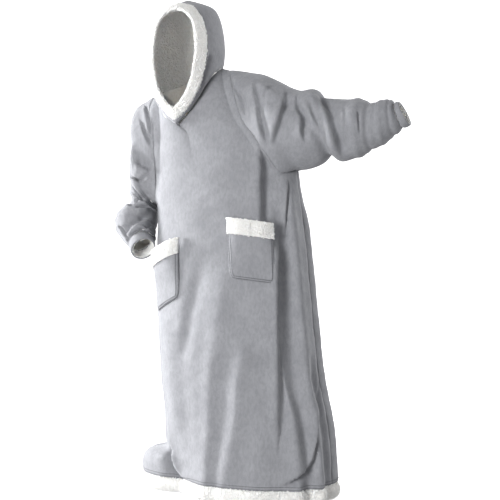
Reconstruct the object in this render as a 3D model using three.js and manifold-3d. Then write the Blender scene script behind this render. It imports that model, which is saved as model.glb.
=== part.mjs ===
import * as THREE from 'three';
import startSolids from 'manifold-3d';

// A hooded blanket robe as it is worn, hollow, with its left sleeve held out to the side
// and its right sleeve hanging toward the pocket. Millimetres, +Z up, front toward -Y,
// the garment's left side toward +X. The origin is the middle of the neck, at the height
// where the cloth lies on the shoulders.

// Driving sizes
const hemHeight = -1430; // the floor that the hem just reaches
const hemBandHeight = 50;
const clothThickness = 5; // flannel outside, sherpa inside, as one wall
const hemPile = 17; // sherpa band with its curls, measured through
const trimPile = 21;
const trimFace = 0.62; // the share of the trim's pile that stands on its outer side
const pocketPile = 13;
const cuffThickness = 6;
const seamGap = 0.3;
const armpitHeight = { left: -308, right: -420 };
const armpitDip = 90; // how much lower the line between the armpits runs in front and behind

// How finely each piece is divided
const frontColumns = 36;
const backColumns = 28;
const shoulderColumns = 2;
const skirtRows = 17;
const rowCrowding = 1.35; // rows stand closer toward the hem
const yokeRows = 9;
const armholePoints = 2 * yokeRows;
const sleeveRows = 23;
const hoodRows = 9;
const hoodColumns = 16;
const trimSteps = 40;
const pocketColumns = 8;
const pocketRows = 8;

// Colours of the two cloths
const flannelGrey = '#a9abae';
const flannelShade = '#a2a4a8';
const sherpaWhite = '#ebebe8';

// The skirt's sections, from the hem up: middle and half width across, reach front and back
const skirtSections = [
  { z: -1430, middle: 244, halfWidth: 303, front: 184, back: 176 },
  { z: -1257, middle: 233, halfWidth: 304, front: 183, back: 172 },
  { z: -1156, middle: 225, halfWidth: 300, front: 181, back: 168 },
  { z: -1019, middle: 203, halfWidth: 293, front: 179, back: 162 },
  { z: -770, middle: 182, halfWidth: 285, front: 176, back: 154 },
  { z: -600, middle: 174, halfWidth: 276, front: 171, back: 148 },
  { z: -482, middle: 168, halfWidth: 268, front: 163, back: 142 },
  { z: -330, middle: 154, halfWidth: 264, front: 148, back: 134 },
  { z: -250, middle: 150, halfWidth: 264, front: 142, back: 132 },
];
const sectionFullness = 0.9; // 1 is an ellipse, less is fuller at its corners

// Long folds of the skirt: angle round the body (0 front, 90 left side), how far it drifts
// toward the hem, its half width in degrees, its depth, and where it starts and ends
const skirtFolds = [
  { at: -64, drift: -4, width: 7, depth: -9, top: -560, bottom: -1500 },
  { at: -42, drift: -2, width: 8, depth: 8, top: -760, bottom: -1500 },
  { at: -26, drift: -6, width: 7, depth: -12, top: -520, bottom: -1500 },
  { at: -9, drift: -2, width: 6, depth: -11, top: -640, bottom: -1180 },
  { at: 2, drift: 2, width: 6, depth: 9, top: -600, bottom: -1500 },
  { at: 11, drift: 3, width: 6, depth: -12, top: -700, bottom: -1500 },
  { at: 22, drift: 2, width: 7, depth: 11, top: -480, bottom: -1500 },
  { at: 38, drift: 2, width: 7, depth: -20, top: -250, bottom: -520 },
  { at: 38, drift: 1, width: 7, depth: -15, top: -680, bottom: -1180 },
  { at: 46, drift: 3, width: 6, depth: 13, top: -400, bottom: -1500 },
  { at: 55, drift: 4, width: 7, depth: -25, top: -420, bottom: -1500 },
  { at: 70, drift: 1, width: 7, depth: 9, top: -330, bottom: -1500 },
  { at: 79, drift: 2, width: 6, depth: -16, top: -900, bottom: -1500 },
  { at: 101, drift: 3, width: 9, depth: 14, top: -360, bottom: -1500 },
  { at: 121, drift: 4, width: 9, depth: -19, top: -300, bottom: -1500 },
  { at: 141, drift: 3, width: 9, depth: 12, top: -520, bottom: -1500 },
  { at: 160, drift: 1, width: 9, depth: -16, top: -380, bottom: -1500 },
  { at: 181, drift: -1, width: 10, depth: 14, top: -450, bottom: -1500 },
  { at: 203, drift: -2, width: 10, depth: -20, top: -330, bottom: -1500 },
  { at: 226, drift: -4, width: 9, depth: 13, top: -560, bottom: -1500 },
  { at: 246, drift: -3, width: 9, depth: -14, top: -480, bottom: -1500 },
];
const foldFade = 130; // the height over which a fold runs out

// The cloth that lies over on itself at the right of the hem
const hemPool = { at: -92, width: 34, reach: 104, top: -1282, full: -1352 };
const hemTuck = { at: -44, width: 12, reach: -40, top: -1120 };

// The neck seam, by its angle round the neck (0 front, 90 side, 180 back), before its tilt
const neckSeam = [
  { angle: 0, reach: 112, z: -160 },
  { angle: 30, reach: 110, z: -98 },
  { angle: 60, reach: 112, z: -24 },
  { angle: 90, reach: 116, z: 9 },
  { angle: 135, reach: 112, z: 26 },
  { angle: 180, reach: 108, z: 34 },
];
const neckMiddle = 18;
const neckTilt = 0.32; // the seam rises toward the lifted sleeve

// Armhole seams, from the armpit up to the shoulder; the armpit itself is the skirt's own
const armholes = {
  leftFront: [
    { x: 384, y: -82, z: -320 },
    { x: 346, y: -112, z: -264 },
    { x: 304, y: -117, z: -203 },
    { x: 255, y: -106, z: -142 },
    { x: 221, y: -84, z: -76 },
    { x: 190, y: -48, z: -4 },
    { x: 168, y: -4, z: 40 },
  ],
  leftBack: [
    { x: 384, y: 72, z: -314 },
    { x: 344, y: 102, z: -262 },
    { x: 292, y: 112, z: -190 },
    { x: 244, y: 102, z: -112 },
    { x: 205, y: 76, z: -32 },
    { x: 182, y: 40, z: 22 },
    { x: 168, y: -4, z: 40 },
  ],
  rightFront: [
    { x: -96, y: -60, z: -416 },
    { x: -82, y: -86, z: -345 },
    { x: -81, y: -96, z: -255 },
    { x: -88, y: -96, z: -165 },
    { x: -108, y: -74, z: -96 },
    { x: -134, y: 0, z: -42 },
  ],
  rightBack: [
    { x: -98, y: 56, z: -404 },
    { x: -86, y: 82, z: -320 },
    { x: -86, y: 96, z: -230 },
    { x: -98, y: 94, z: -140 },
    { x: -116, y: 68, z: -78 },
    { x: -134, y: 0, z: -42 },
  ],
};
const dipFade = 5; // how quickly the rows above the armpits level out
const yokeReach = { front: 124, back: 122 }; // how far the panels reach at the shoulders

// Sleeve sections from the shoulder to the wrist: the outer and the inner point of each, and
// half its depth the other way
const leftSleeveSections = [
  { outer: [286, 4, 16], inner: [431, 0, -309], depth: 120 },
  { outer: [424, 0, -44], inner: [455, 0, -305], depth: 107 },
  { outer: [480, 0, -42], inner: [506, 0, -286], depth: 99 },
  { outer: [508, 0, -70], inner: [535, 0, -260], depth: 82 },
  { outer: [541, 0, -76], inner: [574, 0, -282], depth: 92 },
  { outer: [636, 0, -83], inner: [640, 0, -262], depth: 82 },
  { outer: [690, 0, -94], inner: [694, 0, -237], depth: 66 },
  { outer: [734, 0, -84], inner: [748, 0, -203], depth: 54 },
  { outer: [752, 0, -96], inner: [781, 0, -178], depth: 40 },
];
const rightSleeveSections = [
  { outer: [-188, 24, -62], inner: [-118, 6, -425], depth: 122 },
  { outer: [-220, 24, -215], inner: [-121, 4, -432], depth: 112 },
  { outer: [-233, 10, -328], inner: [-122, -4, -440], depth: 98 },
  { outer: [-208, -8, -428], inner: [-122, -16, -458], depth: 84 },
  { outer: [-257, -28, -494], inner: [-120, -40, -492], depth: 84 },
  { outer: [-236, -48, -541], inner: [-109, -70, -530], depth: 66 },
  { outer: [-170, -82, -592], inner: [-114, -84, -524], depth: 44 },
];
const leftCuffEnd = { outer: [768, 0, -92], inner: [806, 0, -168], depth: 41 };
const rightCuffEnd = { outer: [-146, -108, -616], inner: [-89, -110, -548], depth: 44 };

const sleeveEase = 3; // the cloth stands this far out from its sections
// Folds of the sleeves: how far along and round (0 inner, 0.25 front, 0.5 outer, 0.75 back),
// how far the fold slants round as it runs, its half sizes and its depth
const leftSleeveFolds = [
  { along: 0.15, round: 0.33, slant: 0.05, length: 0.16, width: 0.035, depth: -15 },
  { along: 0.27, round: 0.3, slant: -0.1, length: 0.12, width: 0.035, depth: -13 },
  { along: 0.21, round: 0.36, slant: 0, length: 0.14, width: 0.04, depth: 10 },
  { along: 0.37, round: 0.32, slant: -0.06, length: 0.08, width: 0.035, depth: -9 },
  { along: 0.3, round: 0.7, slant: 0.1, length: 0.14, width: 0.04, depth: -14 },
  { along: 0.18, round: 0.62, slant: -0.05, length: 0.14, width: 0.04, depth: 10 },
  { along: 0.62, round: 0.3, slant: 0.08, length: 0.07, width: 0.06, depth: 6 },
  { along: 0.7, round: 0.66, slant: -0.08, length: 0.07, width: 0.06, depth: 6 },
];
const rightSleeveFolds = [
  { along: 0.2, round: 0.3, slant: 0.1, length: 0.2, width: 0.035, depth: -12 },
  { along: 0.3, round: 0.45, slant: 0.04, length: 0.18, width: 0.05, depth: 8 },
  { along: 0.32, round: 0.66, slant: -0.1, length: 0.2, width: 0.04, depth: -12 },
];
// Rings that the cloth gathers into along a sleeve: height and half width of each
const leftSleeveRings = [
  { along: 0.66, width: 0.022, depth: 5 },
  { along: 0.74, width: 0.018, depth: -5 },
  { along: 0.82, width: 0.02, depth: 4 },
  { along: 0.9, width: 0.02, depth: -4 },
];
const rightSleeveRings = [
  { along: 0.44, width: 0.02, depth: -5 },
  { along: 0.52, width: 0.02, depth: 6 },
  { along: 0.72, width: 0.02, depth: -4 },
  { along: 0.84, width: 0.018, depth: 4 },
];

// The face opening's trim: inner and outer edge, half widths from the hood's middle
const openingEdge = [
  { half: 0, y: -150, z: -96 },
  { half: 26, y: -152, z: -72 },
  { half: 58, y: -152, z: -20 },
  { half: 74, y: -148, z: 50 },
  { half: 77, y: -142, z: 120 },
  { half: 62, y: -137, z: 196 },
  { half: 33, y: -134, z: 228 },
  { half: 0, y: -133, z: 237 },
];
const trimOuterEdge = [
  { half: 0, y: -134, z: -142 },
  { half: 48, y: -131, z: -103 },
  { half: 90, y: -124, z: -34 },
  { half: 106, y: -112, z: 36 },
  { half: 112, y: -102, z: 112 },
  { half: 97, y: -98, z: 192 },
  { half: 54, y: -92, z: 250 },
  { half: 0, y: -90, z: 266 },
];
const hoodMiddle = neckMiddle;

// Ribs of the hood, each from the trim back to the neck seam, by its share of the way from
// the throat to the crown: three points between, as half widths from the hood's middle
const hoodRibs = [
  {
    share: 0,
    foreHalf: 0, foreY: -129, foreZ: -150,
    midHalf: 0, midY: -123, midZ: -154,
    rearHalf: 0, rearY: -117, rearZ: -158,
  },
  {
    share: 0.15,
    foreHalf: 50, foreY: -126, foreZ: -104,
    midHalf: 53, midY: -118, midZ: -105,
    rearHalf: 53, rearY: -108, rearZ: -105,
  },
  {
    share: 0.3,
    foreHalf: 97, foreY: -112, foreZ: -28,
    midHalf: 103, midY: -97, midZ: -27,
    rearHalf: 101, rearY: -80, rearZ: -32,
  },
  {
    share: 0.45,
    foreHalf: 113, foreY: -90, foreZ: 44,
    midHalf: 119, midY: -60, midZ: 42,
    rearHalf: 120, rearY: -36, rearZ: 24,
  },
  {
    share: 0.6,
    foreHalf: 119, foreY: -70, foreZ: 122,
    midHalf: 122, midY: -22, midZ: 118,
    rearHalf: 118, rearY: 24, rearZ: 78,
  },
  {
    share: 0.7,
    foreHalf: 106, foreY: -62, foreZ: 200,
    midHalf: 109, midY: -2, midZ: 194,
    rearHalf: 102, rearY: 62, rearZ: 126,
  },
  {
    share: 0.8,
    foreHalf: 80, foreY: -50, foreZ: 246,
    midHalf: 84, midY: 14, midZ: 244,
    rearHalf: 80, rearY: 88, rearZ: 164,
  },
  {
    share: 1,
    foreHalf: 0, foreY: -42, foreZ: 284,
    midHalf: 0, midY: 42, midZ: 282,
    rearHalf: 0, rearY: 124, rearZ: 190,
  },
];
const ribTilt = [0.15, 0.35, 0.7]; // how much of the neck's tilt each point of a rib takes
const trimSeat = 2; // how far the hood runs in under the trim's edge, before it is cut there
const throatLift = 5; // the hood's tips turn up this far over the point of the neck
const throatTip = -152; // and are cut level here
const neckGap = 1.3; // the hood's own share of the neck seam

// Patch pockets: the angle and height of each one's middle, its sizes, how far its outer
// side drops, and how far its mouth stands open
const pockets = {
  left: { at: 28, z: -582, width: 142, height: 202, drop: -0.14, open: 17 },
  right: { at: -43, z: -674, width: 142, height: 204, drop: 0.46, open: 24 },
};
const pocketBandShare = 0.26; // the band's share of the pocket's height
const pocketReach = 232; // millimetres of cloth to one radian round the body, by the pockets
const pocketSeat = 2.5; // the gap under a pocket's sewn edge

const radian = THREE.MathUtils.degToRad;
const at = (x, y, z) => new THREE.Vector3(x, y, z);
const smooth = THREE.MathUtils.smoothstep;

// A column of a table, as a smooth curve through its rows
function column(table, key, name, place) {
  const last = table.length - 1;
  const held = THREE.MathUtils.clamp(place, table[0][key], table[last][key]);
  let row = 0;
  while (row < last - 1 && held > table[row + 1][key]) {
    row += 1;
  }
  const slope = (index) => {
    const low = table[Math.max(index - 1, 0)];
    const high = table[Math.min(index + 1, last)];
    return (high[name] - low[name]) / (high[key] - low[key]);
  };
  const [start, end] = [table[row], table[row + 1]];
  const span = end[key] - start[key];
  const t = (held - start[key]) / span;
  const rise = end[name] - start[name];
  const a = slope(row) * span - rise;
  const b = rise - slope(row + 1) * span;
  return start[name] + t * rise + t * (1 - t) * ((1 - t) * a + t * b);
}

// Sines and cosines of a section a little fuller than an ellipse
const full = (value) => Math.sign(value) * Math.abs(value) ** sectionFullness;

const bump = (distance, width) => Math.exp(-((distance / width) ** 2));

// Degrees from one angle to another, the short way round
function turn(from, to) {
  return ((((to - from) % 360) + 540) % 360) - 180;
}

// How far the skirt's folds move it in or out at an angle and height
function foldDepth(angle, z) {
  let depth = 0;
  for (const fold of skirtFolds) {
    const run = (fold.top - z) / (fold.top - hemHeight);
    const grown = smooth(z, fold.top - foldFade, fold.top);
    const starts = 1 - grown;
    const lasts = smooth(z, fold.bottom, fold.bottom + foldFade);
    const away = turn(fold.at + fold.drift * run, angle);
    depth += fold.depth * starts * lasts * bump(away, fold.width);
  }
  return depth;
}

// The heap beside the right foot of the hem, and the tuck where the front falls over it
function poolDepth(angle, z) {
  const climb = THREE.MathUtils.clamp((hemPool.top - z) / (hemPool.top - hemPool.full), 0, 1);
  const heap = Math.sqrt(climb * (2 - climb)) * smooth(climb, 0, 0.3);
  const tuck = 1 - smooth(z, hemHeight, hemTuck.top);
  return (
    hemPool.reach * heap * bump(turn(hemPool.at, angle), hemPool.width) +
    hemTuck.reach * tuck * bump(turn(hemTuck.at, angle), hemTuck.width)
  );
}

// A point of the skirt, by its angle round the body and its height
function skirtPoint(angle, z) {
  const sine = Math.sin(radian(angle));
  const cosine = Math.cos(radian(angle));
  const halfWidth = column(skirtSections, 'z', 'halfWidth', z);
  const reach = column(skirtSections, 'z', cosine > 0 ? 'front' : 'back', z);
  const outward = at(sine / halfWidth, -cosine / reach, 0).normalize();
  const point = at(
    column(skirtSections, 'z', 'middle', z) + halfWidth * full(sine),
    -reach * full(cosine),
    z,
  );
  return point.addScaledVector(outward, foldDepth(angle, z) + poolDepth(angle, z));
}

// The height of the line that joins the armpits round the body
function armpitLine(angle) {
  const middle = (armpitHeight.left + armpitHeight.right) / 2;
  const rise = (armpitHeight.left - armpitHeight.right) / 2;
  const dip = armpitDip * Math.abs(Math.cos(radian(angle)));
  return middle + rise * full(Math.sin(radian(angle))) - dip;
}

// The height of a row of the skirt, whose rows tilt more toward the armpits
function rowHeight(share, angle) {
  const hem = hemHeight + hemBandHeight;
  return hem + (armpitLine(angle) - hem) * share;
}

function neckPoint(angle) {
  const side = Math.abs(turn(0, angle));
  const reach = column(neckSeam, 'angle', 'reach', side);
  const sideways = reach * Math.sin(radian(angle));
  const height = column(neckSeam, 'angle', 'z', side) + neckTilt * sideways;
  return at(neckMiddle + sideways, -reach * Math.cos(radian(angle)), height);
}

// The way a wall's inner edge lies at the neck seam, shared by the hood and the panels
function neckOutward(angle) {
  return at(Math.sin(radian(angle)), -Math.cos(radian(angle)), 0.55).normalize();
}

const curveThrough = (points) => new THREE.CatmullRomCurve3(points, false, 'centripetal');
const fromRow = (row) => at(row.x, row.y, row.z);

// The points of an armhole seam, armpit to shoulder
function armhole(name, armpitAngle) {
  const armpit = skirtPoint(armpitAngle, armpitLine(armpitAngle));
  const curve = curveThrough([armpit, ...armholes[name].map(fromRow)]);
  return curve.getSpacedPoints(yokeRows);
}

// The top edge of a panel: along one shoulder seam, round the neck and along the other
function panelTop(fromShoulder, toShoulder, fromAngle, toAngle, columns) {
  const neckColumns = columns - 2 * shoulderColumns;
  const start = neckPoint(fromAngle);
  const end = neckPoint(toAngle);
  const points = [];
  for (let i = 0; i < shoulderColumns; i += 1) {
    points.push(fromShoulder.clone().lerp(start, i / shoulderColumns));
  }
  for (let i = 0; i <= neckColumns; i += 1) {
    points.push(neckPoint(fromAngle + ((toAngle - fromAngle) * i) / neckColumns));
  }
  for (let i = 1; i <= shoulderColumns; i += 1) {
    points.push(end.clone().lerp(toShoulder, i / shoulderColumns));
  }
  return points;
}

// A row of a panel between two seam points: part of a body section of the given reach
function yokeRow(start, end, reach, columns) {
  const share = (point) => Math.min(Math.abs(point.y) / Math.abs(reach), 1);
  const turnAt = (point) => Math.acos(share(point) ** (1 / sectionFullness));
  const from = -turnAt(start);
  const to = turnAt(end);
  const halfWidth = (end.x - start.x) / (full(Math.sin(to)) - full(Math.sin(from)));
  const middle = start.x - halfWidth * full(Math.sin(from));
  const row = [];
  for (let i = 0; i <= columns; i += 1) {
    const angle = from + ((to - from) * i) / columns;
    const x = middle + halfWidth * full(Math.sin(angle));
    const z = start.z + ((end.z - start.z) * (x - start.x)) / (end.x - start.x);
    row.push({ point: at(x, reach * full(Math.cos(angle)), z), angle: THREE.MathUtils.radToDeg(angle) });
  }
  return row;
}

// Rows of a panel from the armpits to the neck, between its two armhole seams
function yoke(top, startEdge, endEdge, chestReach, shoulderReach) {
  const columns = top.length - 1;
  const centre = chestReach < 0 ? 0 : 180;
  const plainTop = yokeRow(top[0], top[columns], shoulderReach, columns);
  const rows = [];
  for (let j = 1; j < yokeRows; j += 1) {
    const share = j / yokeRows;
    const reach = THREE.MathUtils.lerp(chestReach, shoulderReach, share ** 1.4);
    const row = yokeRow(startEdge[j], endEdge[j], reach, columns).map(({ point, angle }, i) => {
      const shaped = top[i].clone().sub(plainTop[i].point);
      point.addScaledVector(shaped, share ** 1.6);
      const round = radian(centre + angle);
      const free = 1 - ((2 * i) / columns - 1) ** 8;
      point.z -= armpitDip * Math.sin((Math.PI * i) / columns) * (1 - share) ** dipFade;
      const outward = at(Math.sin(round), -Math.cos(round), 0);
      return point.addScaledVector(outward, free * foldDepth(centre + angle, point.z));
    });
    row[0].copy(startEdge[j]);
    row[columns].copy(endEdge[j]);
    rows.push(row);
  }
  return [...rows, top];
}

// A whole panel, hem to neck, between two angles round the body
function panelGrid(fromAngle, toAngle, columns, startEdge, endEdge, side) {
  const grid = [];
  for (let j = 0; j <= skirtRows; j += 1) {
    const share = (j / skirtRows) ** rowCrowding;
    const row = [];
    for (let i = 0; i <= columns; i += 1) {
      const angle = fromAngle + ((toAngle - fromAngle) * i) / columns;
      row.push(skirtPoint(angle, rowHeight(share, angle)));
    }
    grid.push(row);
  }
  const shoulderStart = startEdge[yokeRows];
  const shoulderEnd = endEdge[yokeRows];
  const top = panelTop(shoulderStart, shoulderEnd, fromAngle, toAngle, columns);
  const forward = side === 'front' ? -1 : 1;
  const chest = column(skirtSections, 'z', side, armpitLine(0));
  return [...grid, ...yoke(top, startEdge, endEdge, forward * chest, forward * yokeReach[side])];
}

// One section of a sleeve, starting at its inner point and going round by the front
function sleeveSection(section, heading, count) {
  const outer = at(...section.outer);
  const inner = at(...section.inner);
  const middle = outer.clone().lerp(inner, 0.5);
  const across = outer.clone().sub(middle);
  const deep = across.clone().cross(heading).normalize().multiplyScalar(section.depth);
  if (deep.y > 0) {
    deep.negate();
  }
  const points = [];
  for (let i = 0; i < count; i += 1) {
    const round = (2 * Math.PI * i) / count;
    const point = middle.clone().addScaledVector(across, -Math.cos(round));
    points.push(point.addScaledVector(deep, Math.sin(round)));
  }
  return points;
}

const sectionMiddle = (section) => at(...section.outer).lerp(at(...section.inner), 0.5);

function sleeveHeading(sections, index) {
  const before = sectionMiddle(sections[Math.max(index - 1, 0)]);
  const after = sectionMiddle(sections[Math.min(index + 1, sections.length - 1)]);
  return after.sub(before).normalize();
}

// A sleeve's points: smooth curves from the armhole through its sections
function sleeveGrid(front, back, sections, folds, rings, cuffEnd, inward) {
  const armholeRing = [...front.slice(0, yokeRows), ...back.slice(1).reverse()];
  const withEnd = [...sections, cuffEnd];
  const keys = sections.map((section, index) =>
    sleeveSection(section, sleeveHeading(withEnd, index), armholePoints),
  );
  const grid = Array.from({ length: sleeveRows + 1 }, () => []);
  for (let i = 0; i < armholePoints; i += 1) {
    const curve = curveThrough([armholeRing[i], ...keys.map((ring) => ring[i])]);
    for (let j = 0; j <= sleeveRows; j += 1) {
      grid[j].push(curve.getPoint(j / sleeveRows));
    }
  }
  const normals = gridNormals(grid, true, inward);
  grid.forEach((row, j) => {
    const share = j / sleeveRows;
    const kept = smooth(share, 0, 0.08) * (1 - smooth(share, 0.94, 1));
    row.forEach((point, i) => {
      let depth = 0;
      for (const fold of folds) {
        const run = share - fold.along;
        const round = turn(360 * (fold.round + (fold.slant * run) / fold.length), (360 * i) / armholePoints);
        depth += fold.depth * bump(run, fold.length) * bump(round / 360, fold.width);
      }
      for (const ring of rings) {
        depth += ring.depth * bump(share - ring.along, ring.width);
      }
      point.addScaledVector(normals[j][i], kept * (depth + sleeveEase));
    });
  });
  return grid;
}

// A short band that carries on from a sleeve's last row
function cuffGrid(wrist, cuffEnd, heading, inward) {
  const end = sleeveSection(cuffEnd, heading, armholePoints);
  const steps = 3;
  const roll = 2.5;
  const grid = [];
  for (let j = 0; j <= steps; j += 1) {
    const share = j / steps;
    grid.push(wrist.map((point, i) => point.clone().lerp(end[i], share)));
  }
  const normals = gridNormals(grid, true, inward);
  grid.forEach((row, j) => {
    row.forEach((point, i) => point.addScaledVector(normals[j][i], roll * Math.sin((Math.PI * j) / steps)));
  });
  return grid;
}

// Outward directions of a grid of points, whose columns go round to the left unless inward
function gridNormals(grid, closed, inward) {
  const rows = grid.length - 1;
  const columns = grid[0].length - 1;
  return grid.map((row, j) =>
    row.map((point, i) => {
      const up = grid[Math.min(j + 1, rows)][i].clone().sub(grid[Math.max(j - 1, 0)][i]);
      const next = closed ? (i + 1) % (columns + 1) : Math.min(i + 1, columns);
      const past = closed ? (i + columns) % (columns + 1) : Math.max(i - 1, 0);
      const round = row[next].clone().sub(row[past]);
      return round.cross(up).normalize().multiplyScalar(inward ? -1 : 1);
    }),
  );
}

// Closed bodies of cloth

const sharpestMitre = 0.35; // a seam's corner moves at most this share's inverse of its gap

// Lists each wall before any is made, so that walls which meet at a seam can share the
// direction of their cut edges
const walls = [];

function addWall(name, grid, options) {
  const normals = gridNormals(grid, options.closed, options.inward);
  walls.push({ name, grid, normals, ...options });
}

const placeKey = (point) => point.toArray().map((value) => Math.round(value * 10)).join();

function shareSeamNormals() {
  const sums = new Map();
  for (const wall of walls) {
    wall.grid.forEach((row, j) =>
      row.forEach((point, i) => {
        const key = placeKey(point);
        sums.set(key, (sums.get(key) ?? at(0, 0, 0)).add(wall.normals[j][i]));
      }),
    );
  }
  for (const wall of walls) {
    wall.normals = wall.grid.map((row) => row.map((point) => sums.get(placeKey(point)).clone().normalize()));
    wall.edgeNormals?.(wall.normals);
  }
}

// How far each point of a wall moves to leave its seams open: across the seam, away from
// the neighbouring piece, with the corners of the seam's line mitred
function seamMoves({ grid, normals, closed, edges }, grow) {
  const rows = grid.length - 1;
  const columns = grid[0].length - 1;
  const moves = grid.map((row) => row.map(() => at(0, 0, 0)));
  const openEdge = (places, inside, gap, loop) => {
    const count = places.length;
    const point = ([j, i]) => grid[j][i];
    const sides = [];
    for (let k = 0; k < (loop ? count : count - 1); k += 1) {
      const [a, b] = [places[k], places[(k + 1) % count]];
      const [c, d] = [inside[k], inside[(k + 1) % count]];
      const outward = normals[a[0]][a[1]].clone().add(normals[b[0]][b[1]]);
      const side = outward.cross(point(b).clone().sub(point(a))).normalize();
      const inward = point(c).clone().add(point(d)).sub(point(a)).sub(point(b));
      sides.push(side.multiplyScalar(Math.sign(side.dot(inward))));
    }
    places.forEach(([j, i], k) => {
      const past = sides[loop ? (k + sides.length - 1) % sides.length : Math.max(k - 1, 0)];
      const next = sides[Math.min(k, sides.length - 1)];
      const mitre = past.clone().add(next).normalize();
      moves[j][i].addScaledVector(mitre, gap / Math.max(mitre.dot(next), sharpestMitre));
    });
  };
  const across = (j) => grid[j].map((_, i) => [j, i]);
  const upward = (i) => grid.map((_, j) => [j, i]);
  openEdge(across(0), across(1), (edges.bottom ?? 0) - grow, closed);
  openEdge(across(rows), across(rows - 1), (edges.top ?? 0) - grow, closed);
  if (!closed) {
    openEdge(upward(0), upward(1), (edges.start ?? 0) - grow, false);
    openEdge(upward(columns), upward(columns - 1), (edges.end ?? 0) - grow, false);
  }
  return moves;
}

// A wall as a closed body; grown, it is larger all round, to leave that gap when it cuts
function wallGeometry(wall, grow = 0) {
  const { grid, normals, closed, thickness, inward } = wall;
  const rows = grid.length - 1;
  const columns = grid[0].length;
  const moves = seamMoves(wall, grow);
  const place = (point, j, i, depth) => {
    return point.clone().add(moves[j][i]).addScaledVector(normals[j][i], -depth);
  };
  const layer = (depthAt) => grid.map((row, j) => row.map((point, i) => place(point, j, i, depthAt(j))));
  const outer = layer(() => -grow);
  const inner = layer((j) => thickness(j) + grow);
  const positions = [...outer.flat(), ...inner.flat()].flatMap((point) => point.toArray());
  const index = [];
  const layerSize = (rows + 1) * columns;
  const vertex = (layer, j, i) => layer * layerSize + j * columns + (i % columns);
  const quad = (a, b, c, d) => {
    if (inward) {
      index.push(a, c, b, a, d, c);
    } else {
      index.push(a, b, c, a, c, d);
    }
  };
  // A cut edge between two of the wall's places is split the same way on both sides of a seam
  const cutEdge = (fromRow, fromColumn, toRow, toColumn) => {
    const innerFrom = vertex(1, fromRow, fromColumn);
    const outerFrom = vertex(0, fromRow, fromColumn);
    const innerTo = vertex(1, toRow, toColumn);
    const outerTo = vertex(0, toRow, toColumn);
    if (grid[fromRow][fromColumn % columns].z < grid[toRow][toColumn % columns].z) {
      quad(innerFrom, innerTo, outerTo, outerFrom);
    } else {
      quad(innerTo, outerTo, outerFrom, innerFrom);
    }
  };
  const steps = closed ? columns : columns - 1;
  for (let i = 0; i < steps; i += 1) {
    for (let j = 0; j < rows; j += 1) {
      quad(vertex(0, j, i), vertex(0, j, i + 1), vertex(0, j + 1, i + 1), vertex(0, j + 1, i));
      quad(vertex(1, j, i + 1), vertex(1, j, i), vertex(1, j + 1, i), vertex(1, j + 1, i + 1));
    }
    cutEdge(0, i, 0, i + 1);
    cutEdge(rows, i + 1, rows, i);
  }
  if (!closed) {
    for (let j = 0; j < rows; j += 1) {
      cutEdge(j + 1, 0, j, 0);
      cutEdge(j, columns - 1, j + 1, columns - 1);
    }
  }
  const geometry = new THREE.BufferGeometry();
  geometry.setAttribute('position', new THREE.Float32BufferAttribute(positions, 3));
  geometry.setIndex(index);
  return geometry;
}

const plainWall = () => clothThickness;

// Front and back

const seams = {
  leftFront: armhole('leftFront', 90),
  leftBack: armhole('leftBack', 90),
  rightFront: armhole('rightFront', -90),
  rightBack: armhole('rightBack', -90),
};
const halfGap = seamGap / 2 + 0.05;
const hemSeat = 0.4;
const sewn = { bottom: hemSeat, top: halfGap, start: halfGap, end: halfGap };

const frontGrid = panelGrid(-90, 90, frontColumns, seams.rightFront, seams.leftFront, 'front');
const backGrid = panelGrid(90, 270, backColumns, seams.leftBack, seams.rightBack, 'back');

// The cut edges of a panel: level along the hem, and the neck's own way along the neck
function panelEdges(fromAngle, toAngle, columns) {
  return (normals) => {
    normals[0].forEach((normal) => normal.setZ(0).normalize());
    const top = normals[normals.length - 1];
    const neckColumns = columns - 2 * shoulderColumns;
    for (let i = 0; i <= neckColumns; i += 1) {
      const angle = fromAngle + ((toAngle - fromAngle) * i) / neckColumns;
      top[i + shoulderColumns].copy(neckOutward(angle));
    }
  };
}

addWall('front_panel', frontGrid, {
  colour: flannelGrey,
  thickness: plainWall,
  edges: sewn,
  edgeNormals: panelEdges(-90, 90, frontColumns),
});
addWall('back_panel', backGrid, {
  colour: flannelShade,
  thickness: plainWall,
  edges: sewn,
  edgeNormals: panelEdges(90, 270, backColumns),
});

// Hem band

const hemSteps = 64;
const hemProfile = [
  { height: 0, proud: 3 },
  { height: 25, proud: 8 },
  { height: hemBandHeight, proud: 0 },
];

function hemBandGrid() {
  return hemProfile.map(({ height, proud }) => {
    const row = [];
    for (let i = 0; i < hemSteps; i += 1) {
      const angle = -90 + (360 * i) / hemSteps;
      const z = hemHeight + height;
      const point = skirtPoint(angle, hemHeight + hemBandHeight);
      const beside = skirtPoint(angle + 0.5, hemHeight + hemBandHeight);
      const along = beside.sub(point).setZ(0).normalize();
      point.addScaledVector(at(along.y, -along.x, 0), proud);
      row.push(point.setZ(z));
    }
    return row;
  });
}

addWall('hem_band', hemBandGrid(), {
  colour: sherpaWhite,
  closed: true,
  thickness: (j) => hemPile - 7 + hemProfile[j].proud,
  edges: {},
  edgeNormals: (normals) => normals.flat().forEach((normal) => normal.setZ(0).normalize()),
});

// Sleeves and cuffs

function addSleeve(side, sections, folds, rings, cuffEnd, inward) {
  const front = seams[`${side}Front`];
  const back = seams[`${side}Back`];
  const grid = sleeveGrid(front, back, sections, folds, rings, cuffEnd, inward);
  const edges = { bottom: halfGap, top: halfGap };
  const cloth = { colour: flannelGrey, closed: true, inward, thickness: plainWall, edges };
  addWall(`sleeve_${side}`, grid, cloth);
  const heading = sleeveHeading([...sections, cuffEnd], sections.length);
  const cuff = cuffGrid(grid[sleeveRows], cuffEnd, heading, inward);
  addWall(`cuff_${side}`, cuff, {
    colour: flannelShade,
    closed: true,
    inward,
    thickness: () => cuffThickness,
    edges: { bottom: halfGap },
  });
}

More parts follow.
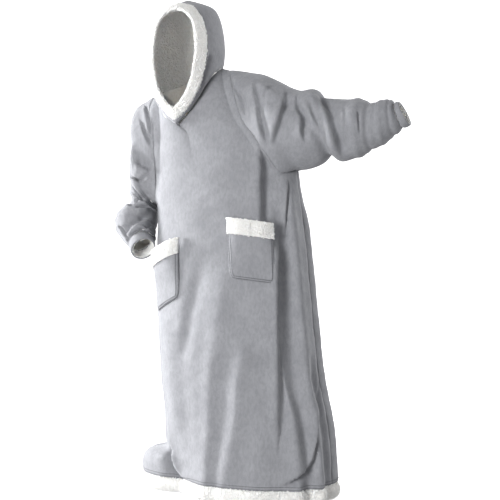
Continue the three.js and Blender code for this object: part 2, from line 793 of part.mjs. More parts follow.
addSleeve('left', leftSleeveSections, leftSleeveFolds, leftSleeveRings, leftCuffEnd, true);
addSleeve('right', rightSleeveSections, rightSleeveFolds, rightSleeveRings, rightCuffEnd, false);

// Hood

// An edge of the face opening on one side, bottom to top
function openingSide(rows, side) {
  return rows.map((row) => at(hoodMiddle + side * row.half, row.y, row.z));
}

// A point a given share of the way round an edge of the opening, from its foot round the left
function openingPoint(rows, share) {
  const left = curveThrough(openingSide(rows, 1));
  const right = curveThrough(openingSide(rows, -1));
  return share <= 0.5 ? left.getPoint(2 * share) : right.getPoint(2 * (1 - share));
}

function trimGeometry(grow = 0) {
  const profile = [
    [-1, 0],
    [-0.8, 0.7],
    [-0.3, 1],
    [0.3, 1],
    [0.8, 0.7],
    [1, 0],
    [0.8, -0.7],
    [0.3, -1],
    [-0.3, -1],
    [-0.8, -0.7],
  ];
  const middles = [];
  const rings = [];
  for (let k = 0; k < trimSteps; k += 1) {
    const inner = openingPoint(openingEdge, k / trimSteps);
    const outer = openingPoint(trimOuterEdge, k / trimSteps);
    const half = outer.clone().sub(inner).multiplyScalar(0.5);
    middles.push({ middle: inner.lerp(outer, 0.5), half: half.setLength(half.length() + grow) });
  }
  middles.forEach(({ middle, half }, k) => {
    const next = middles[(k + 1) % trimSteps].middle;
    const past = middles[(k + trimSteps - 1) % trimSteps].middle;
    const outward = next.clone().sub(past).cross(half).normalize();
    rings.push(
      profile.map(([wide, thick]) =>
        middle
          .clone()
          .addScaledVector(half, wide)
          .addScaledVector(outward, thick * (grow + trimPile * (thick > 0 ? trimFace : 1 - trimFace))),
      ),
    );
  });
  const positions = rings.flat().flatMap((point) => point.toArray());
  const index = [];
  const size = profile.length;
  for (let k = 0; k < trimSteps; k += 1) {
    for (let i = 0; i < size; i += 1) {
      const a = k * size + i;
      const b = k * size + ((i + 1) % size);
      const c = ((k + 1) % trimSteps) * size + ((i + 1) % size);
      const d = ((k + 1) % trimSteps) * size + i;
      index.push(a, c, b, a, d, c);
    }
  }
  const geometry = new THREE.BufferGeometry();
  geometry.setAttribute('position', new THREE.Float32BufferAttribute(positions, 3));
  geometry.setIndex(index);
  return geometry;
}

// One rib of the hood, from just behind the trim to the neck seam
function hoodRib(share, side) {
  const behind = openingPoint(trimOuterEdge, side > 0 ? share / 2 : 1 - share / 2);
  const inner = openingPoint(openingEdge, side > 0 ? share / 2 : 1 - share / 2);
  behind.addScaledVector(behind.clone().sub(inner).normalize(), -trimSeat);
  const between = ['fore', 'mid', 'rear'].map((name, index) => {
    const half = column(hoodRibs, 'share', `${name}Half`, share);
    const tilt = neckTilt * side * half * ribTilt[index];
    const z = column(hoodRibs, 'share', `${name}Z`, share) + tilt;
    return at(hoodMiddle + side * half, column(hoodRibs, 'share', `${name}Y`, share), z);
  });
  const end = neckPoint(side * 180 * share);
  end.z += throatLift * (1 - smooth(share, 0, 1 / hoodColumns));
  return curveThrough([behind, ...between, end]);
}

// One half of the hood: columns from the throat over to the crown, rows from the trim back
function hoodGrid(side) {
  const grid = Array.from({ length: hoodRows + 1 }, () => []);
  for (let i = 0; i <= hoodColumns; i += 1) {
    const rib = hoodRib(i / hoodColumns, side);
    for (let j = 0; j <= hoodRows; j += 1) {
      grid[j].push(rib.getPoint(j / hoodRows));
    }
  }
  return grid;
}

// The cut edge of the hood along the neck seam
function hoodEdges(side) {
  return (normals) => {
    normals[hoodRows].forEach((normal, i) => normal.copy(neckOutward((side * 180 * i) / hoodColumns)));
  };
}

for (const side of [1, -1]) {
  addWall(side > 0 ? 'hood_left' : 'hood_right', hoodGrid(side), {
    colour: flannelGrey,
    inward: side > 0,
    thickness: plainWall,
    edges: { top: neckGap, start: halfGap, end: halfGap },
    edgeNormals: hoodEdges(side),
  });
}

// Pockets

// A point of a pocket's outline space: across from -1 to 1 and up from 0 to 1
function pocketPlace(pocket, across, up) {
  const offset = (across * pocket.width) / 2;
  const angle = pocket.at + THREE.MathUtils.radToDeg(offset / pocketReach);
  const z = pocket.z + (up - 0.5) * pocket.height + pocket.drop * offset;
  const point = skirtPoint(angle, z);
  const beside = skirtPoint(angle + 0.5, z).sub(point);
  const above = skirtPoint(angle, z + 3).sub(point);
  return { point, outward: beside.cross(above).normalize() };
}

// How far the pocket's cloth stands off the front behind it
function pocketStand(pocket, across, up) {
  const middle = 1 - across ** 4;
  return pocketSeat + pocket.open * middle * smooth(up, 0.05, 1);
}

function pocketGrid(pocket, fromUp, toUp, rows, proud) {
  const roundCorner = 0.16;
  const grid = [];
  const directions = Array.from({ length: rows + 1 }, () => []);
  for (let j = 0; j <= rows; j += 1) {
    const up = fromUp + ((toUp - fromUp) * j) / rows;
    const drawn = up < roundCorner ? 0.86 + 0.14 * Math.sqrt(1 - (1 - up / roundCorner) ** 2) : 1;
    const row = [];
    for (let i = 0; i <= pocketColumns; i += 1) {
      const across = (-1 + (2 * i) / pocketColumns) * drawn;
      const { point, outward } = pocketPlace(pocket, across, up);
      row.push(point.addScaledVector(outward, pocketStand(pocket, across, up) + proud));
      directions[j].push(outward);
    }
    grid.push(row);
  }
  return { grid, directions };
}

for (const side of ['left', 'right']) {
  const pocket = pockets[side];
  const mouth = 1 - pocketBandShare;
  const body = pocketGrid(pocket, 0, mouth, pocketRows, clothThickness);
  const band = pocketGrid(pocket, mouth, 1, 3, pocketPile);
  const keepDirections = (directions) => (normals) =>
    normals.forEach((row, j) => row.forEach((normal, i) => normal.copy(directions[j][i])));
  addWall(`pocket_${side}`, body.grid, {
    colour: flannelGrey,
    thickness: plainWall,
    edges: { top: halfGap },
    edgeNormals: keepDirections(body.directions),
  });
  addWall(`pocket_band_${side}`, band.grid, {
    colour: sherpaWhite,
    thickness: () => pocketPile,
    edges: { bottom: halfGap },
    edgeNormals: keepDirections(band.directions),
  });
}

// The whole garment

shareSeamNormals();

// The neighbours that each piece is trimmed back from where it would run into them, and the
// gap that this leaves; the hood's halves are also kept to their own side of its middle
const neighbours = {
  sleeve_left: { names: ['front_panel', 'back_panel'], gap: 0.32 },
  sleeve_right: { names: ['front_panel', 'back_panel'], gap: 0.32 },
  cuff_left: { names: ['sleeve_left'], gap: 0.32 },
  cuff_right: { names: ['sleeve_right'], gap: 0.32 },
  hood_left: { names: ['front_panel', 'back_panel', 'hood_trim'], gap: 0.35, side: 1 },
  hood_right: { names: ['front_panel', 'back_panel', 'hood_trim'], gap: 0.35, side: -1 },
};
const thread = 0.02; // detail finer than this is smoothed out of a trimmed edge

const solids = await startSolids();
solids.setup();

function toSolid(geometry) {
  const vertProperties = new Float32Array(geometry.getAttribute('position').array);
  const triVerts = new Uint32Array(geometry.index.array);
  return new solids.Manifold(new solids.Mesh({ numProp: 3, vertProperties, triVerts }));
}

function grownPiece(name, grow) {
  const wall = walls.find((each) => each.name === name);
  return toSolid(wall ? wallGeometry(wall, grow) : trimGeometry(grow));
}

// A piece less its grown neighbours, as one body
function clear(name, geometry) {
  if (!neighbours[name]) {
    return geometry;
  }
  const { names, gap, side } = neighbours[name];
  let body = toSolid(geometry);
  for (const neighbour of names) {
    body = body.subtract(grownPiece(neighbour, gap));
  }
  if (side) {
    body = body.trimByPlane([side, 0, 0], side * hoodMiddle + seamGap / 2);
    body = body.trimByPlane([0, 0, 1], throatTip);
  }
  const parts = body.decompose().sort((a, b) => b.volume() - a.volume());
  const mesh = parts[0].simplify(thread).getMesh();
  const trimmed = new THREE.BufferGeometry();
  trimmed.setAttribute('position', new THREE.Float32BufferAttribute(mesh.vertProperties, 3));
  trimmed.setIndex(Array.from(mesh.triVerts));
  return trimmed;
}

const garment = new THREE.Group();

function addPiece(name, geometry, colour, roughness) {
  const material = new THREE.MeshStandardMaterial({ color: colour, roughness, metalness: 0 });
  const piece = new THREE.Mesh(geometry, material);
  piece.name = name;
  garment.add(piece);
}

for (const wall of walls) {
  const geometry = clear(wall.name, wallGeometry(wall));
  addPiece(wall.name, geometry, wall.colour, wall.colour === sherpaWhite ? 0.95 : 0.9);
}
addPiece('hood_trim', trimGeometry(), sherpaWhite, 0.95);

export default garment;
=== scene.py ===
import math

import bpy
import numpy as np
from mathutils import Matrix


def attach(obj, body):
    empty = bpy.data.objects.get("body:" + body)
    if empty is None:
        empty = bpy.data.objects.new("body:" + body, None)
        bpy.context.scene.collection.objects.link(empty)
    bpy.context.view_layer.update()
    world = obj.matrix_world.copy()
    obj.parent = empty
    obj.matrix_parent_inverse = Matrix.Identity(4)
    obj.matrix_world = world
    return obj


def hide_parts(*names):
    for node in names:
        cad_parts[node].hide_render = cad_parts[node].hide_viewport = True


# A hooded blanket robe as it is worn: brushed flannel fleece outside, curly sherpa inside and
# on its bands. Sizes are in millimetres and turn to metres where a mesh is made.

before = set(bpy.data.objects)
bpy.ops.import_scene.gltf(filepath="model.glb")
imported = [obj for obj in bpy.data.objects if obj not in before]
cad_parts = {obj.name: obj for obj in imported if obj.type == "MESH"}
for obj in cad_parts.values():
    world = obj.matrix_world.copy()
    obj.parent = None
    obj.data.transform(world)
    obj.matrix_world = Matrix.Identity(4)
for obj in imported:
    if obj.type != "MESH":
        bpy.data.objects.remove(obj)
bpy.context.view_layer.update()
millimetre = 0.001

# The cut, in the same sizes as the solids

body = {
    "hem": -1430, "hemBand": 50, "armpitLeft": -308, "armpitRight": -420, "armpitDip": 90,
    "dipFade": 5, "fullness": 0.9, "foldFade": 150, "frontShoulder": 2 / 36,
    "backShoulder": 2 / 28, "frontReach": -124, "backReach": 122, "wall": 4.6,
}
# z, middle, half width, reach in front, reach behind
skirtSections = np.array([
    (-1430, 244, 303, 184, 176), (-1257, 233, 304, 183, 172), (-1156, 225, 300, 181, 168),
    (-1019, 203, 293, 179, 162), (-770, 182, 285, 176, 154), (-600, 174, 276, 171, 148),
    (-482, 168, 268, 163, 142), (-330, 154, 264, 148, 134), (-250, 150, 264, 142, 132),
], float)
# angle, drift toward the hem, half width in degrees, depth, top, bottom
skirtFolds = [
    (-64, -4, 7, -6, -560, -1500), (-42, -2, 8, 5, -760, -1500), (-26, -4, 7, -5, -900, -1500),
    (-3, -50, 6, -11, -560, -1020), (8, -24, 6, 8, -600, -1500), (4, -14, 5, -10, -880, -1500),
    (20, -28, 5, 9, -840, -1500), (33, 0, 11, -12, -880, -1500),
    (46, 2, 5, 6, -400, -1500), (55, 3, 7, -22, -400, -1500), (70, 1, 7, 9, -330, -1500),
    (79, 2, 6, -16, -900, -1500), (101, 3, 9, 14, -360, -1500), (121, 4, 9, -19, -300, -1500),
    (141, 3, 9, 12, -520, -1500), (160, 1, 9, -16, -380, -1500), (181, -1, 10, 14, -450, -1500),
    (203, -2, 10, -20, -330, -1500), (226, -4, 9, 13, -560, -1500),
    (246, -3, 9, -14, -480, -1500),
]
hemPool = {"at": -92, "width": 34, "reach": 104, "top": -1282, "full": -1352}
hemTuck = {"at": -44, "width": 12, "reach": -40, "top": -1120}
# how the yoke leans in and rises toward the neck, and how close to the seams folds may come
yoke = {"lean": 1.4, "rise": 1.6, "freeEdge": 8}
# angle round the neck, reach, z
neckSeam = np.array([
    (0, 112, -160), (30, 110, -98), (60, 112, -24), (90, 116, 9), (135, 112, 26), (180, 108, 34),
], float)
neck = {"middle": 18, "tilt": 0.32}
armholes = {
    "leftFront": [(384, -82, -320), (346, -112, -264), (304, -117, -203), (255, -106, -142),
                  (221, -84, -76), (190, -48, -4), (168, -4, 40)],
    "leftBack": [(384, 72, -314), (344, 102, -262), (292, 112, -190), (244, 102, -112),
                 (205, 76, -32), (182, 40, 22), (168, -4, 40)],
    "rightFront": [(-96, -60, -416), (-82, -86, -345), (-81, -96, -255), (-88, -96, -165),
                   (-108, -74, -96), (-134, 0, -42)],
    "rightBack": [(-98, 56, -404), (-86, 82, -320), (-86, 96, -230), (-98, 94, -140),
                  (-116, 68, -78), (-134, 0, -42)],
}


def column(table, index, place):
    # one column of a table as a smooth curve through its rows
    keys, values = table[:, 0], table[:, index]
    last = len(keys) - 1
    held = np.clip(place, keys[0], keys[last])
    row = np.clip(np.searchsorted(keys, held, side="left") - 1, 0, last - 1)
    low, high = np.maximum(np.arange(last + 1) - 1, 0), np.minimum(np.arange(last + 1) + 1, last)
    slope = (values[high] - values[low]) / (keys[high] - keys[low])
    span = keys[row + 1] - keys[row]
    t = (held - keys[row]) / span
    rise = values[row + 1] - values[row]
    a = slope[row] * span - rise
    b = rise - slope[row + 1] * span
    return values[row] + t * rise + t * (1 - t) * ((1 - t) * a + t * b)


def smooth(x, low, high):
    t = np.clip((np.asarray(x, float) - low) / (high - low), 0, 1)
    return t * t * (3 - 2 * t)


def bump(distance, width):
    return np.exp(-((distance / width) ** 2))


def turn(start, end):
    return np.mod(np.mod(end - start, 360) + 540, 360) - 180


def full(value):
    return np.sign(value) * np.abs(value) ** body["fullness"]


def unit(vectors):
    length = np.linalg.norm(vectors, axis=-1, keepdims=True)
    return vectors / np.maximum(length, 1e-9)


def curveThrough(points, places):
    # centripetal curve through points (count, ..., 3), at places from 0 to 1
    points = np.asarray(points, float)
    first, last = 2 * points[0] - points[1], 2 * points[-1] - points[-2]
    run = np.concatenate([first[None], points, last[None]])
    scaled = np.clip(np.asarray(places, float), 0, 1) * (len(points) - 1)
    index = np.minimum(scaled.astype(int), len(points) - 2)
    share = (scaled - index).reshape((-1,) + (1,) * (points.ndim - 1))
    p0, p1, p2, p3 = (run[index + k] for k in range(4))
    gap = [np.maximum(np.linalg.norm(b - a, axis=-1, keepdims=True) ** 0.5, 1e-4)
           for a, b in ((p0, p1), (p1, p2), (p2, p3))]
    t1 = (p1 - p0) / gap[0] - (p2 - p0) / (gap[0] + gap[1]) + (p2 - p1) / gap[1]
    t2 = (p2 - p1) / gap[1] - (p3 - p1) / (gap[1] + gap[2]) + (p3 - p2) / gap[2]
    t1, t2 = t1 * gap[1], t2 * gap[1]
    c2 = -3 * p1 + 3 * p2 - 2 * t1 - t2
    c3 = 2 * p1 - 2 * p2 + t1 + t2
    return p1 + share * (t1 + share * (c2 + share * c3))


def evenCurve(points, places):
    # the same curve, with places measured along its length
    dense = np.linspace(0, 1, 401)
    line = curveThrough(points, dense)
    length = np.concatenate([[0], np.cumsum(np.linalg.norm(np.diff(line, axis=0), axis=1))])
    return curveThrough(points, np.interp(np.asarray(places) * length[-1], length, dense))


def foldDepth(angle, z):
    depth = np.zeros(np.broadcast(angle, z).shape)
    for at, drift, width, deep, top, bottom in skirtFolds:
        run = (top - z) / (top - body["hem"])
        starts = 1 - smooth(z, top - body["foldFade"], top)
        lasts = smooth(z, bottom, bottom + body["foldFade"])
        depth += deep * starts * lasts * bump(turn(at + drift * run, angle), width)
    return depth


def poolDepth(angle, z):
    climb = np.clip((hemPool["top"] - z) / (hemPool["top"] - hemPool["full"]), 0, 1)
    heap = np.sqrt(climb * (2 - climb)) * smooth(climb, 0, 0.3)
    tuck = 1 - smooth(z, body["hem"], hemTuck["top"])
    return (hemPool["reach"] * heap * bump(turn(hemPool["at"], angle), hemPool["width"])
            + hemTuck["reach"] * tuck * bump(turn(hemTuck["at"], angle), hemTuck["width"]))


def skirtPoint(angle, z):
    angle, z = np.broadcast_arrays(np.asarray(angle, float), np.asarray(z, float))
    sine, cosine = np.sin(np.radians(angle)), np.cos(np.radians(angle))
    halfWidth = column(skirtSections, 2, z)
    reach = np.where(cosine > 0, column(skirtSections, 3, z), column(skirtSections, 4, z))
    outward = unit(np.stack([sine / halfWidth, -cosine / reach, 0 * z], -1))
    point = np.stack([column(skirtSections, 1, z) + halfWidth * full(sine),
                      -reach * full(cosine), z], -1)
    return point + outward * (foldDepth(angle, z) + poolDepth(angle, z))[..., None]


def armpitLine(angle):
    middle = (body["armpitLeft"] + body["armpitRight"]) / 2
    rise = (body["armpitLeft"] - body["armpitRight"]) / 2
    radians = np.radians(np.asarray(angle, float))
    return middle + rise * full(np.sin(radians)) - body["armpitDip"] * np.abs(np.cos(radians))


def neckPoint(angle):
    angle = np.asarray(angle, float)
    side = np.abs(turn(0, angle))
    reach = column(neckSeam, 1, side)
    sideways = reach * np.sin(np.radians(angle))
    height = column(neckSeam, 2, side) + neck["tilt"] * sideways
    return np.stack([neck["middle"] + sideways, -reach * np.cos(np.radians(angle)), height], -1)


def armhole(name, armpitAngle, places):
    armpit = skirtPoint(armpitAngle, armpitLine(armpitAngle))
    return evenCurve([armpit] + armholes[name], places)


def panelTop(start, end, fromAngle, toAngle, shoulder, across):
    neckShare = np.clip((across - shoulder) / (1 - 2 * shoulder), 0, 1)
    points = neckPoint(fromAngle + (toAngle - fromAngle) * neckShare)
    first, last = neckPoint(fromAngle), neckPoint(toAngle)
    low, high = across < shoulder, across > 1 - shoulder
    share = (across / shoulder)[:, None]
    points[low] = (start + (first - start) * share)[low]
    share = ((across - 1 + shoulder) / shoulder)[:, None]
    points[high] = (last + (end - last) * share)[high]
    return points


def yokeRow(start, end, reach, across):
    def turned(point):
        return math.acos(min(abs(point[1]) / abs(reach), 1) ** (1 / body["fullness"]))
    low, high = -turned(start), turned(end)
    halfWidth = (end[0] - start[0]) / (full(math.sin(high)) - full(math.sin(low)))
    middle = start[0] - halfWidth * full(math.sin(low))
    angle = low + (high - low) * across
    x = middle + halfWidth * full(np.sin(angle))
    z = start[2] + (end[2] - start[2]) * (x - start[0]) / (end[0] - start[0])
    return np.stack([x, reach * full(np.cos(angle)), z], -1), np.degrees(angle)


def panelGrid(fromAngle, toAngle, startName, endName, front, columns, skirtRows, yokeRows):
    # a whole panel, hem to neck, between two angles round the body
    across = np.linspace(0, 1, columns + 1)
    angle = fromAngle + (toAngle - fromAngle) * across
    low = body["hem"] + body["hemBand"]
    rows = [skirtPoint(angle, low + (armpitLine(angle) - low) * share)
            for share in np.linspace(0, 1, skirtRows + 1)]
    places = np.linspace(0, 1, yokeRows + 1)
    start, end = armhole(startName, fromAngle, places), armhole(endName, toAngle, places)
    centre = 0 if front else 180
    shoulder = body["frontShoulder"] if front else body["backShoulder"]
    top = panelTop(start[-1], end[-1], fromAngle, toAngle, shoulder, across)
    chest = float(column(skirtSections, 3 if front else 4, armpitLine(0))) * (-1 if front else 1)
    reachAtTop = body["frontReach"] if front else body["backReach"]
    plainTop = yokeRow(top[0], top[-1], reachAtTop, across)[0]
    for j in range(1, yokeRows):
        share = places[j]
        reach = chest + (reachAtTop - chest) * share ** yoke["lean"]
        points, turned = yokeRow(start[j], end[j], reach, across)
        points = points + (top - plainTop) * share ** yoke["rise"]
        dip = body["armpitDip"] * np.sin(np.pi * across) * (1 - share) ** body["dipFade"]
        points[:, 2] -= dip
        facing = np.radians(centre + turned)
        outward = np.stack([np.sin(facing), -np.cos(facing), 0 * facing], -1)
        free = 1 - (2 * across - 1) ** yoke["freeEdge"]
        points += outward * (free * foldDepth(centre + turned, points[:, 2]))[:, None]
        points[0], points[-1] = start[j], end[j]
        rows.append(points)
    rows.append(top)
    return np.array(rows)


def evenRows(grid, row, reach=9, passes=50, seamShare=0.12):  # rows, times, share across
    # the cloth runs on smoothly where the skirt's rows meet the rows of the yoke; the sewn
    # edges stay where they are
    low, high = max(row - reach, 1), min(row + reach + 1, len(grid) - 1)
    across = np.linspace(0, 1, grid.shape[1])
    free = smooth(np.minimum(across, 1 - across), 0, seamShare)[None, :, None]
    even = grid.copy()
    for _ in range(passes):
        even[low:high] = (even[low - 1:high - 1] + 2 * even[low:high] + even[low + 1:high + 1]) / 4
    return grid + (even - grid) * free


# Sleeves: outer point, inner point and half depth of each section

leftSections = [
    ((286, 4, 16), (431, 0, -309), 120), ((424, 0, -44), (455, 0, -305), 107),
    ((480, 0, -42), (506, 0, -286), 99), ((508, 0, -70), (535, 0, -260), 82),
    ((541, 0, -76), (574, 0, -282), 92), ((636, 0, -83), (640, 0, -262), 82),
    ((690, 0, -94), (694, 0, -237), 66), ((734, 0, -84), (748, 0, -203), 54),
    ((752, 0, -96), (781, 0, -178), 40),
]
rightSections = [
    ((-188, 24, -62), (-118, 6, -425), 122), ((-220, 24, -215), (-121, 4, -432), 112),
    ((-233, 10, -328), (-122, -4, -440), 98), ((-208, -8, -428), (-122, -16, -458), 84),
    ((-257, -28, -494), (-120, -40, -492), 84), ((-236, -48, -541), (-109, -70, -530), 66),
    ((-170, -82, -592), (-114, -84, -524), 44),
]
leftCuffEnd = ((768, 0, -92), (806, 0, -168), 41)
rightCuffEnd = ((-146, -108, -616), (-89, -110, -548), 44)
sleeveEase = 3
sleeveFade = {"armhole": 0.08, "wrist": 0.94}  # where its folds have come in and start to end
# along, round, slant, half length, half width, depth
leftSleeveFolds = [
    (0.15, 0.33, 0.05, 0.16, 0.035, -15), (0.27, 0.3, -0.1, 0.12, 0.035, -13),
    (0.21, 0.36, 0, 0.14, 0.04, 10), (0.37, 0.32, -0.06, 0.08, 0.035, -9),
    (0.3, 0.7, 0.1, 0.14, 0.04, -14), (0.18, 0.62, -0.05, 0.14, 0.04, 10),
    (0.62, 0.3, 0.08, 0.07, 0.06, 6), (0.7, 0.66, -0.08, 0.07, 0.06, 6),
]
rightSleeveFolds = [
    (0.2, 0.3, 0.1, 0.2, 0.035, -12), (0.3, 0.45, 0.04, 0.18, 0.05, 8),
    (0.32, 0.66, -0.1, 0.2, 0.04, -12), (0.3, 0.43, 0.0, 0.34, 0.16, -16),
]
# along, half width, depth
leftRings = [(0.66, 0.022, 5), (0.74, 0.018, -5), (0.82, 0.02, 4), (0.9, 0.02, -4)]
rightRings = [(0.44, 0.02, -5), (0.52, 0.02, 6), (0.72, 0.02, -4), (0.84, 0.018, 4)]


def gridNormals(grid, closed, inward):
    up = np.gradient(grid, axis=0)
    if closed:
        across = np.roll(grid, -1, axis=1) - np.roll(grid, 1, axis=1)
    else:
        across = np.gradient(grid, axis=1)
    return unit(np.cross(across, up)) * (-1 if inward else 1)


def neighbours(values, axis, closed):
    # the values on either side; an open edge stands in for its own missing neighbour
    low, high = np.roll(values, 1, axis=axis), np.roll(values, -1, axis=axis)
    if axis == 0:
        low[0], high[-1] = values[0], values[-1]
    elif not closed:
        low[:, 0], high[:, -1] = values[:, 0], values[:, -1]
    return low, high


def softNormals(grid, closed, inward, passes=30):
    # the way out of the cloth, averaged over about 15 mm so that it never crosses in a hollow
    normals = gridNormals(grid, closed, inward)
    for _ in range(passes):
        for axis in (0, 1):
            low, high = neighbours(normals, axis, closed)
            normals = normals * 2 + low + high
        normals = unit(normals)
    return normals


def sleeveSection(section, heading, turns):
    outer, inner = np.array(section[0], float), np.array(section[1], float)
    middle = (outer + inner) / 2
    across = outer - middle
    deep = unit(np.cross(across, heading)) * section[2]
    if deep[1] > 0:
        deep = -deep
    radians = 2 * np.pi * turns[:, None]
    return middle - across * np.cos(radians) + deep * np.sin(radians)


def sleeveHeadings(sections):
    middles = np.array([(np.array(s[0], float) + s[1]) / 2 for s in sections])
    low = np.maximum(np.arange(len(sections)) - 1, 0)
    high = np.minimum(np.arange(len(sections)) + 1, len(sections) - 1)
    return unit(middles[high] - middles[low])


def sleeveGrid(side, armpitAngle, sections, cuffEnd, folds, rings, inward, rows, columns):
    turns = np.arange(columns) / columns
    front = armhole(f"{side}Front", armpitAngle, np.minimum(2 * turns, 1))
    back = armhole(f"{side}Back", armpitAngle, np.minimum(2 * (1 - turns), 1))
    seam = np.where((turns < 0.5)[:, None], front, back)
    headings = sleeveHeadings(sections + [cuffEnd])
    keys = [seam] + [sleeveSection(s, headings[k], turns) for k, s in enumerate(sections)]
    along = np.linspace(0, 1, rows + 1)
    grid = curveThrough(np.array(keys), along)
    normals = gridNormals(grid, True, inward)
    kept = (smooth(along, 0, sleeveFade["armhole"])
            * (1 - smooth(along, sleeveFade["wrist"], 1)))[:, None]
    depth = np.full((rows + 1, columns), float(sleeveEase))
    for at, roundAt, slant, length, width, deep in folds:
        run = along - at
        centre = 360 * (roundAt + slant * run / length)
        away = turn(centre[:, None], 360 * turns[None, :]) / 360
        depth += deep * bump(run, length)[:, None] * bump(away, width)
    for at, width, deep in rings:
        depth += deep * bump(along - at, width)[:, None]
    end = sleeveSection(cuffEnd, headings[-1], turns)
    return grid + normals * (kept * depth)[..., None], end


# Hood

openingEdge = [(0, -150, -96), (26, -152, -72), (58, -152, -20), (74, -148, 50), (77, -142, 120),
               (62, -137, 196), (33, -134, 228), (0, -133, 237)]
trimOuterEdge = [(0, -134, -142), (48, -131, -103), (90, -124, -34), (106, -112, 36),
                 (112, -102, 112), (97, -98, 192), (54, -92, 250), (0, -90, 266)]
# share of the way from throat to crown, then half width, y and z of three points behind the trim
hoodRibs = np.array([
    (0, 0, -129, -150, 0, -123, -154, 0, -117, -158),
    (0.15, 50, -126, -104, 53, -118, -105, 53, -108, -105),
    (0.3, 97, -112, -28, 103, -97, -27, 101, -80, -32),
    (0.45, 113, -90, 44, 119, -60, 42, 120, -36, 24),
    (0.6, 119, -70, 122, 122, -22, 118, 118, 24, 78),
    (0.7, 106, -62, 200, 109, -2, 194, 102, 62, 126),
    (0.8, 80, -50, 246, 84, 14, 244, 80, 88, 164),
    (1, 0, -42, 284, 0, 42, 282, 0, 124, 190),
], float)
ribTilt = [0.15, 0.35, 0.7]
trimGap = 2


def openingPoint(edge, share):
    share = np.asarray(share, float)
    sides = [[(neck["middle"] + side * half, y, z) for half, y, z in edge] for side in (1, -1)]
    left = curveThrough(sides[0], np.clip(2 * share, 0, 1))
    right = curveThrough(sides[1], np.clip(2 * (1 - share), 0, 1))
    return np.where((share <= 0.5)[:, None], left, right)


def hoodGrid(side, rows, columns):
    share = np.linspace(0, 1, columns + 1)
    half = share / 2 if side > 0 else 1 - share / 2
    behind, inner = openingPoint(trimOuterEdge, half), openingPoint(openingEdge, half)
    behind = behind - unit(behind - inner) * trimGap
    keys = [behind]
    for k, tilt in enumerate(ribTilt):
        width = column(hoodRibs, 1 + 3 * k, share)
        y, z = column(hoodRibs, 2 + 3 * k, share), column(hoodRibs, 3 + 3 * k, share)
        z = z + neck["tilt"] * side * width * tilt
        keys.append(np.stack([neck["middle"] + side * width, y, z], -1))
    keys.append(neckPoint(side * 180 * share))
    return curveThrough(np.array(keys), np.linspace(0, 1, rows + 1))


# Pockets

pockets = {
    "left": {"at": 28, "z": -582, "width": 142, "height": 202, "drop": -0.14, "open": 17},
    "right": {"at": -43, "z": -674, "width": 142, "height": 204, "drop": 0.46, "open": 24},
    "bandShare": 0.26, "reach": 232, "seat": 2.5, "corner": 0.17, "drawn": 0.2, "bow": 4,
    "opensFrom": 0.05,
}


def pocketGrid(pocket, fromUp, toUp, proud, rows, columns):
    up = np.linspace(fromUp, toUp, rows + 1)[:, None]
    corner = pockets["corner"]
    rounding = np.sqrt(np.clip(1 - (1 - np.minimum(up / corner, 1)) ** 2, 0, 1))
    drawn = 1 - pockets["drawn"] * (1 - rounding)
    across = np.linspace(-1, 1, columns + 1)[None, :] * drawn
    offset = across * pocket["width"] / 2
    angle = pocket["at"] + np.degrees(offset / pockets["reach"])
    z = pocket["z"] + (up - 0.5) * pocket["height"] + pocket["drop"] * offset
    point = skirtPoint(angle, z)
    beside, above = skirtPoint(angle + 0.5, z) - point, skirtPoint(angle, z + 3) - point
    outward = unit(np.cross(beside, above))
    bow = (1 - across ** pockets["bow"]) * smooth(up, pockets["opensFrom"], 1)
    stand = pockets["seat"] + pocket["open"] * bow
    return point + outward * (stand + proud)[..., None], outward


# Meshes

def finishMesh(name, points, faces, uvs=None, slots=None, materials=()):
    mesh = bpy.data.meshes.new(name)
    mesh.from_pydata((np.asarray(points) * millimetre).tolist(), [], faces)
    if uvs is not None:
        layer = mesh.uv_layers.new(name="cloth")
        corners = np.empty(len(mesh.loops), dtype=np.int32)
        mesh.loops.foreach_get("vertex_index", corners)
        layer.data.foreach_set("uv", np.asarray(uvs)[corners].ravel())
    for material in materials:
        mesh.materials.append(material)
    if slots is not None:
        mesh.polygons.foreach_set("material_index", np.asarray(slots, dtype=np.int32))
    mesh.polygons.foreach_set("use_smooth", np.ones(len(mesh.polygons), dtype=bool))
    mesh.update()
    piece = bpy.data.objects.new(name, mesh)
    bpy.context.scene.collection.objects.link(piece)
    return piece


def lengthsAlong(grid, axis):
    steps = np.linalg.norm(np.diff(grid, axis=axis), axis=-1)
    pad = [(0, 0), (0, 0)]
    pad[axis] = (1, 0)
    return np.pad(np.cumsum(steps, axis=axis), pad)


def lowestAround(depth, closed):
    # each place takes the lowest value among its neighbours
    for axis in (0, 1):
        low, high = neighbours(depth, axis, closed)
        depth = np.minimum(depth, np.minimum(low, high))
    return depth


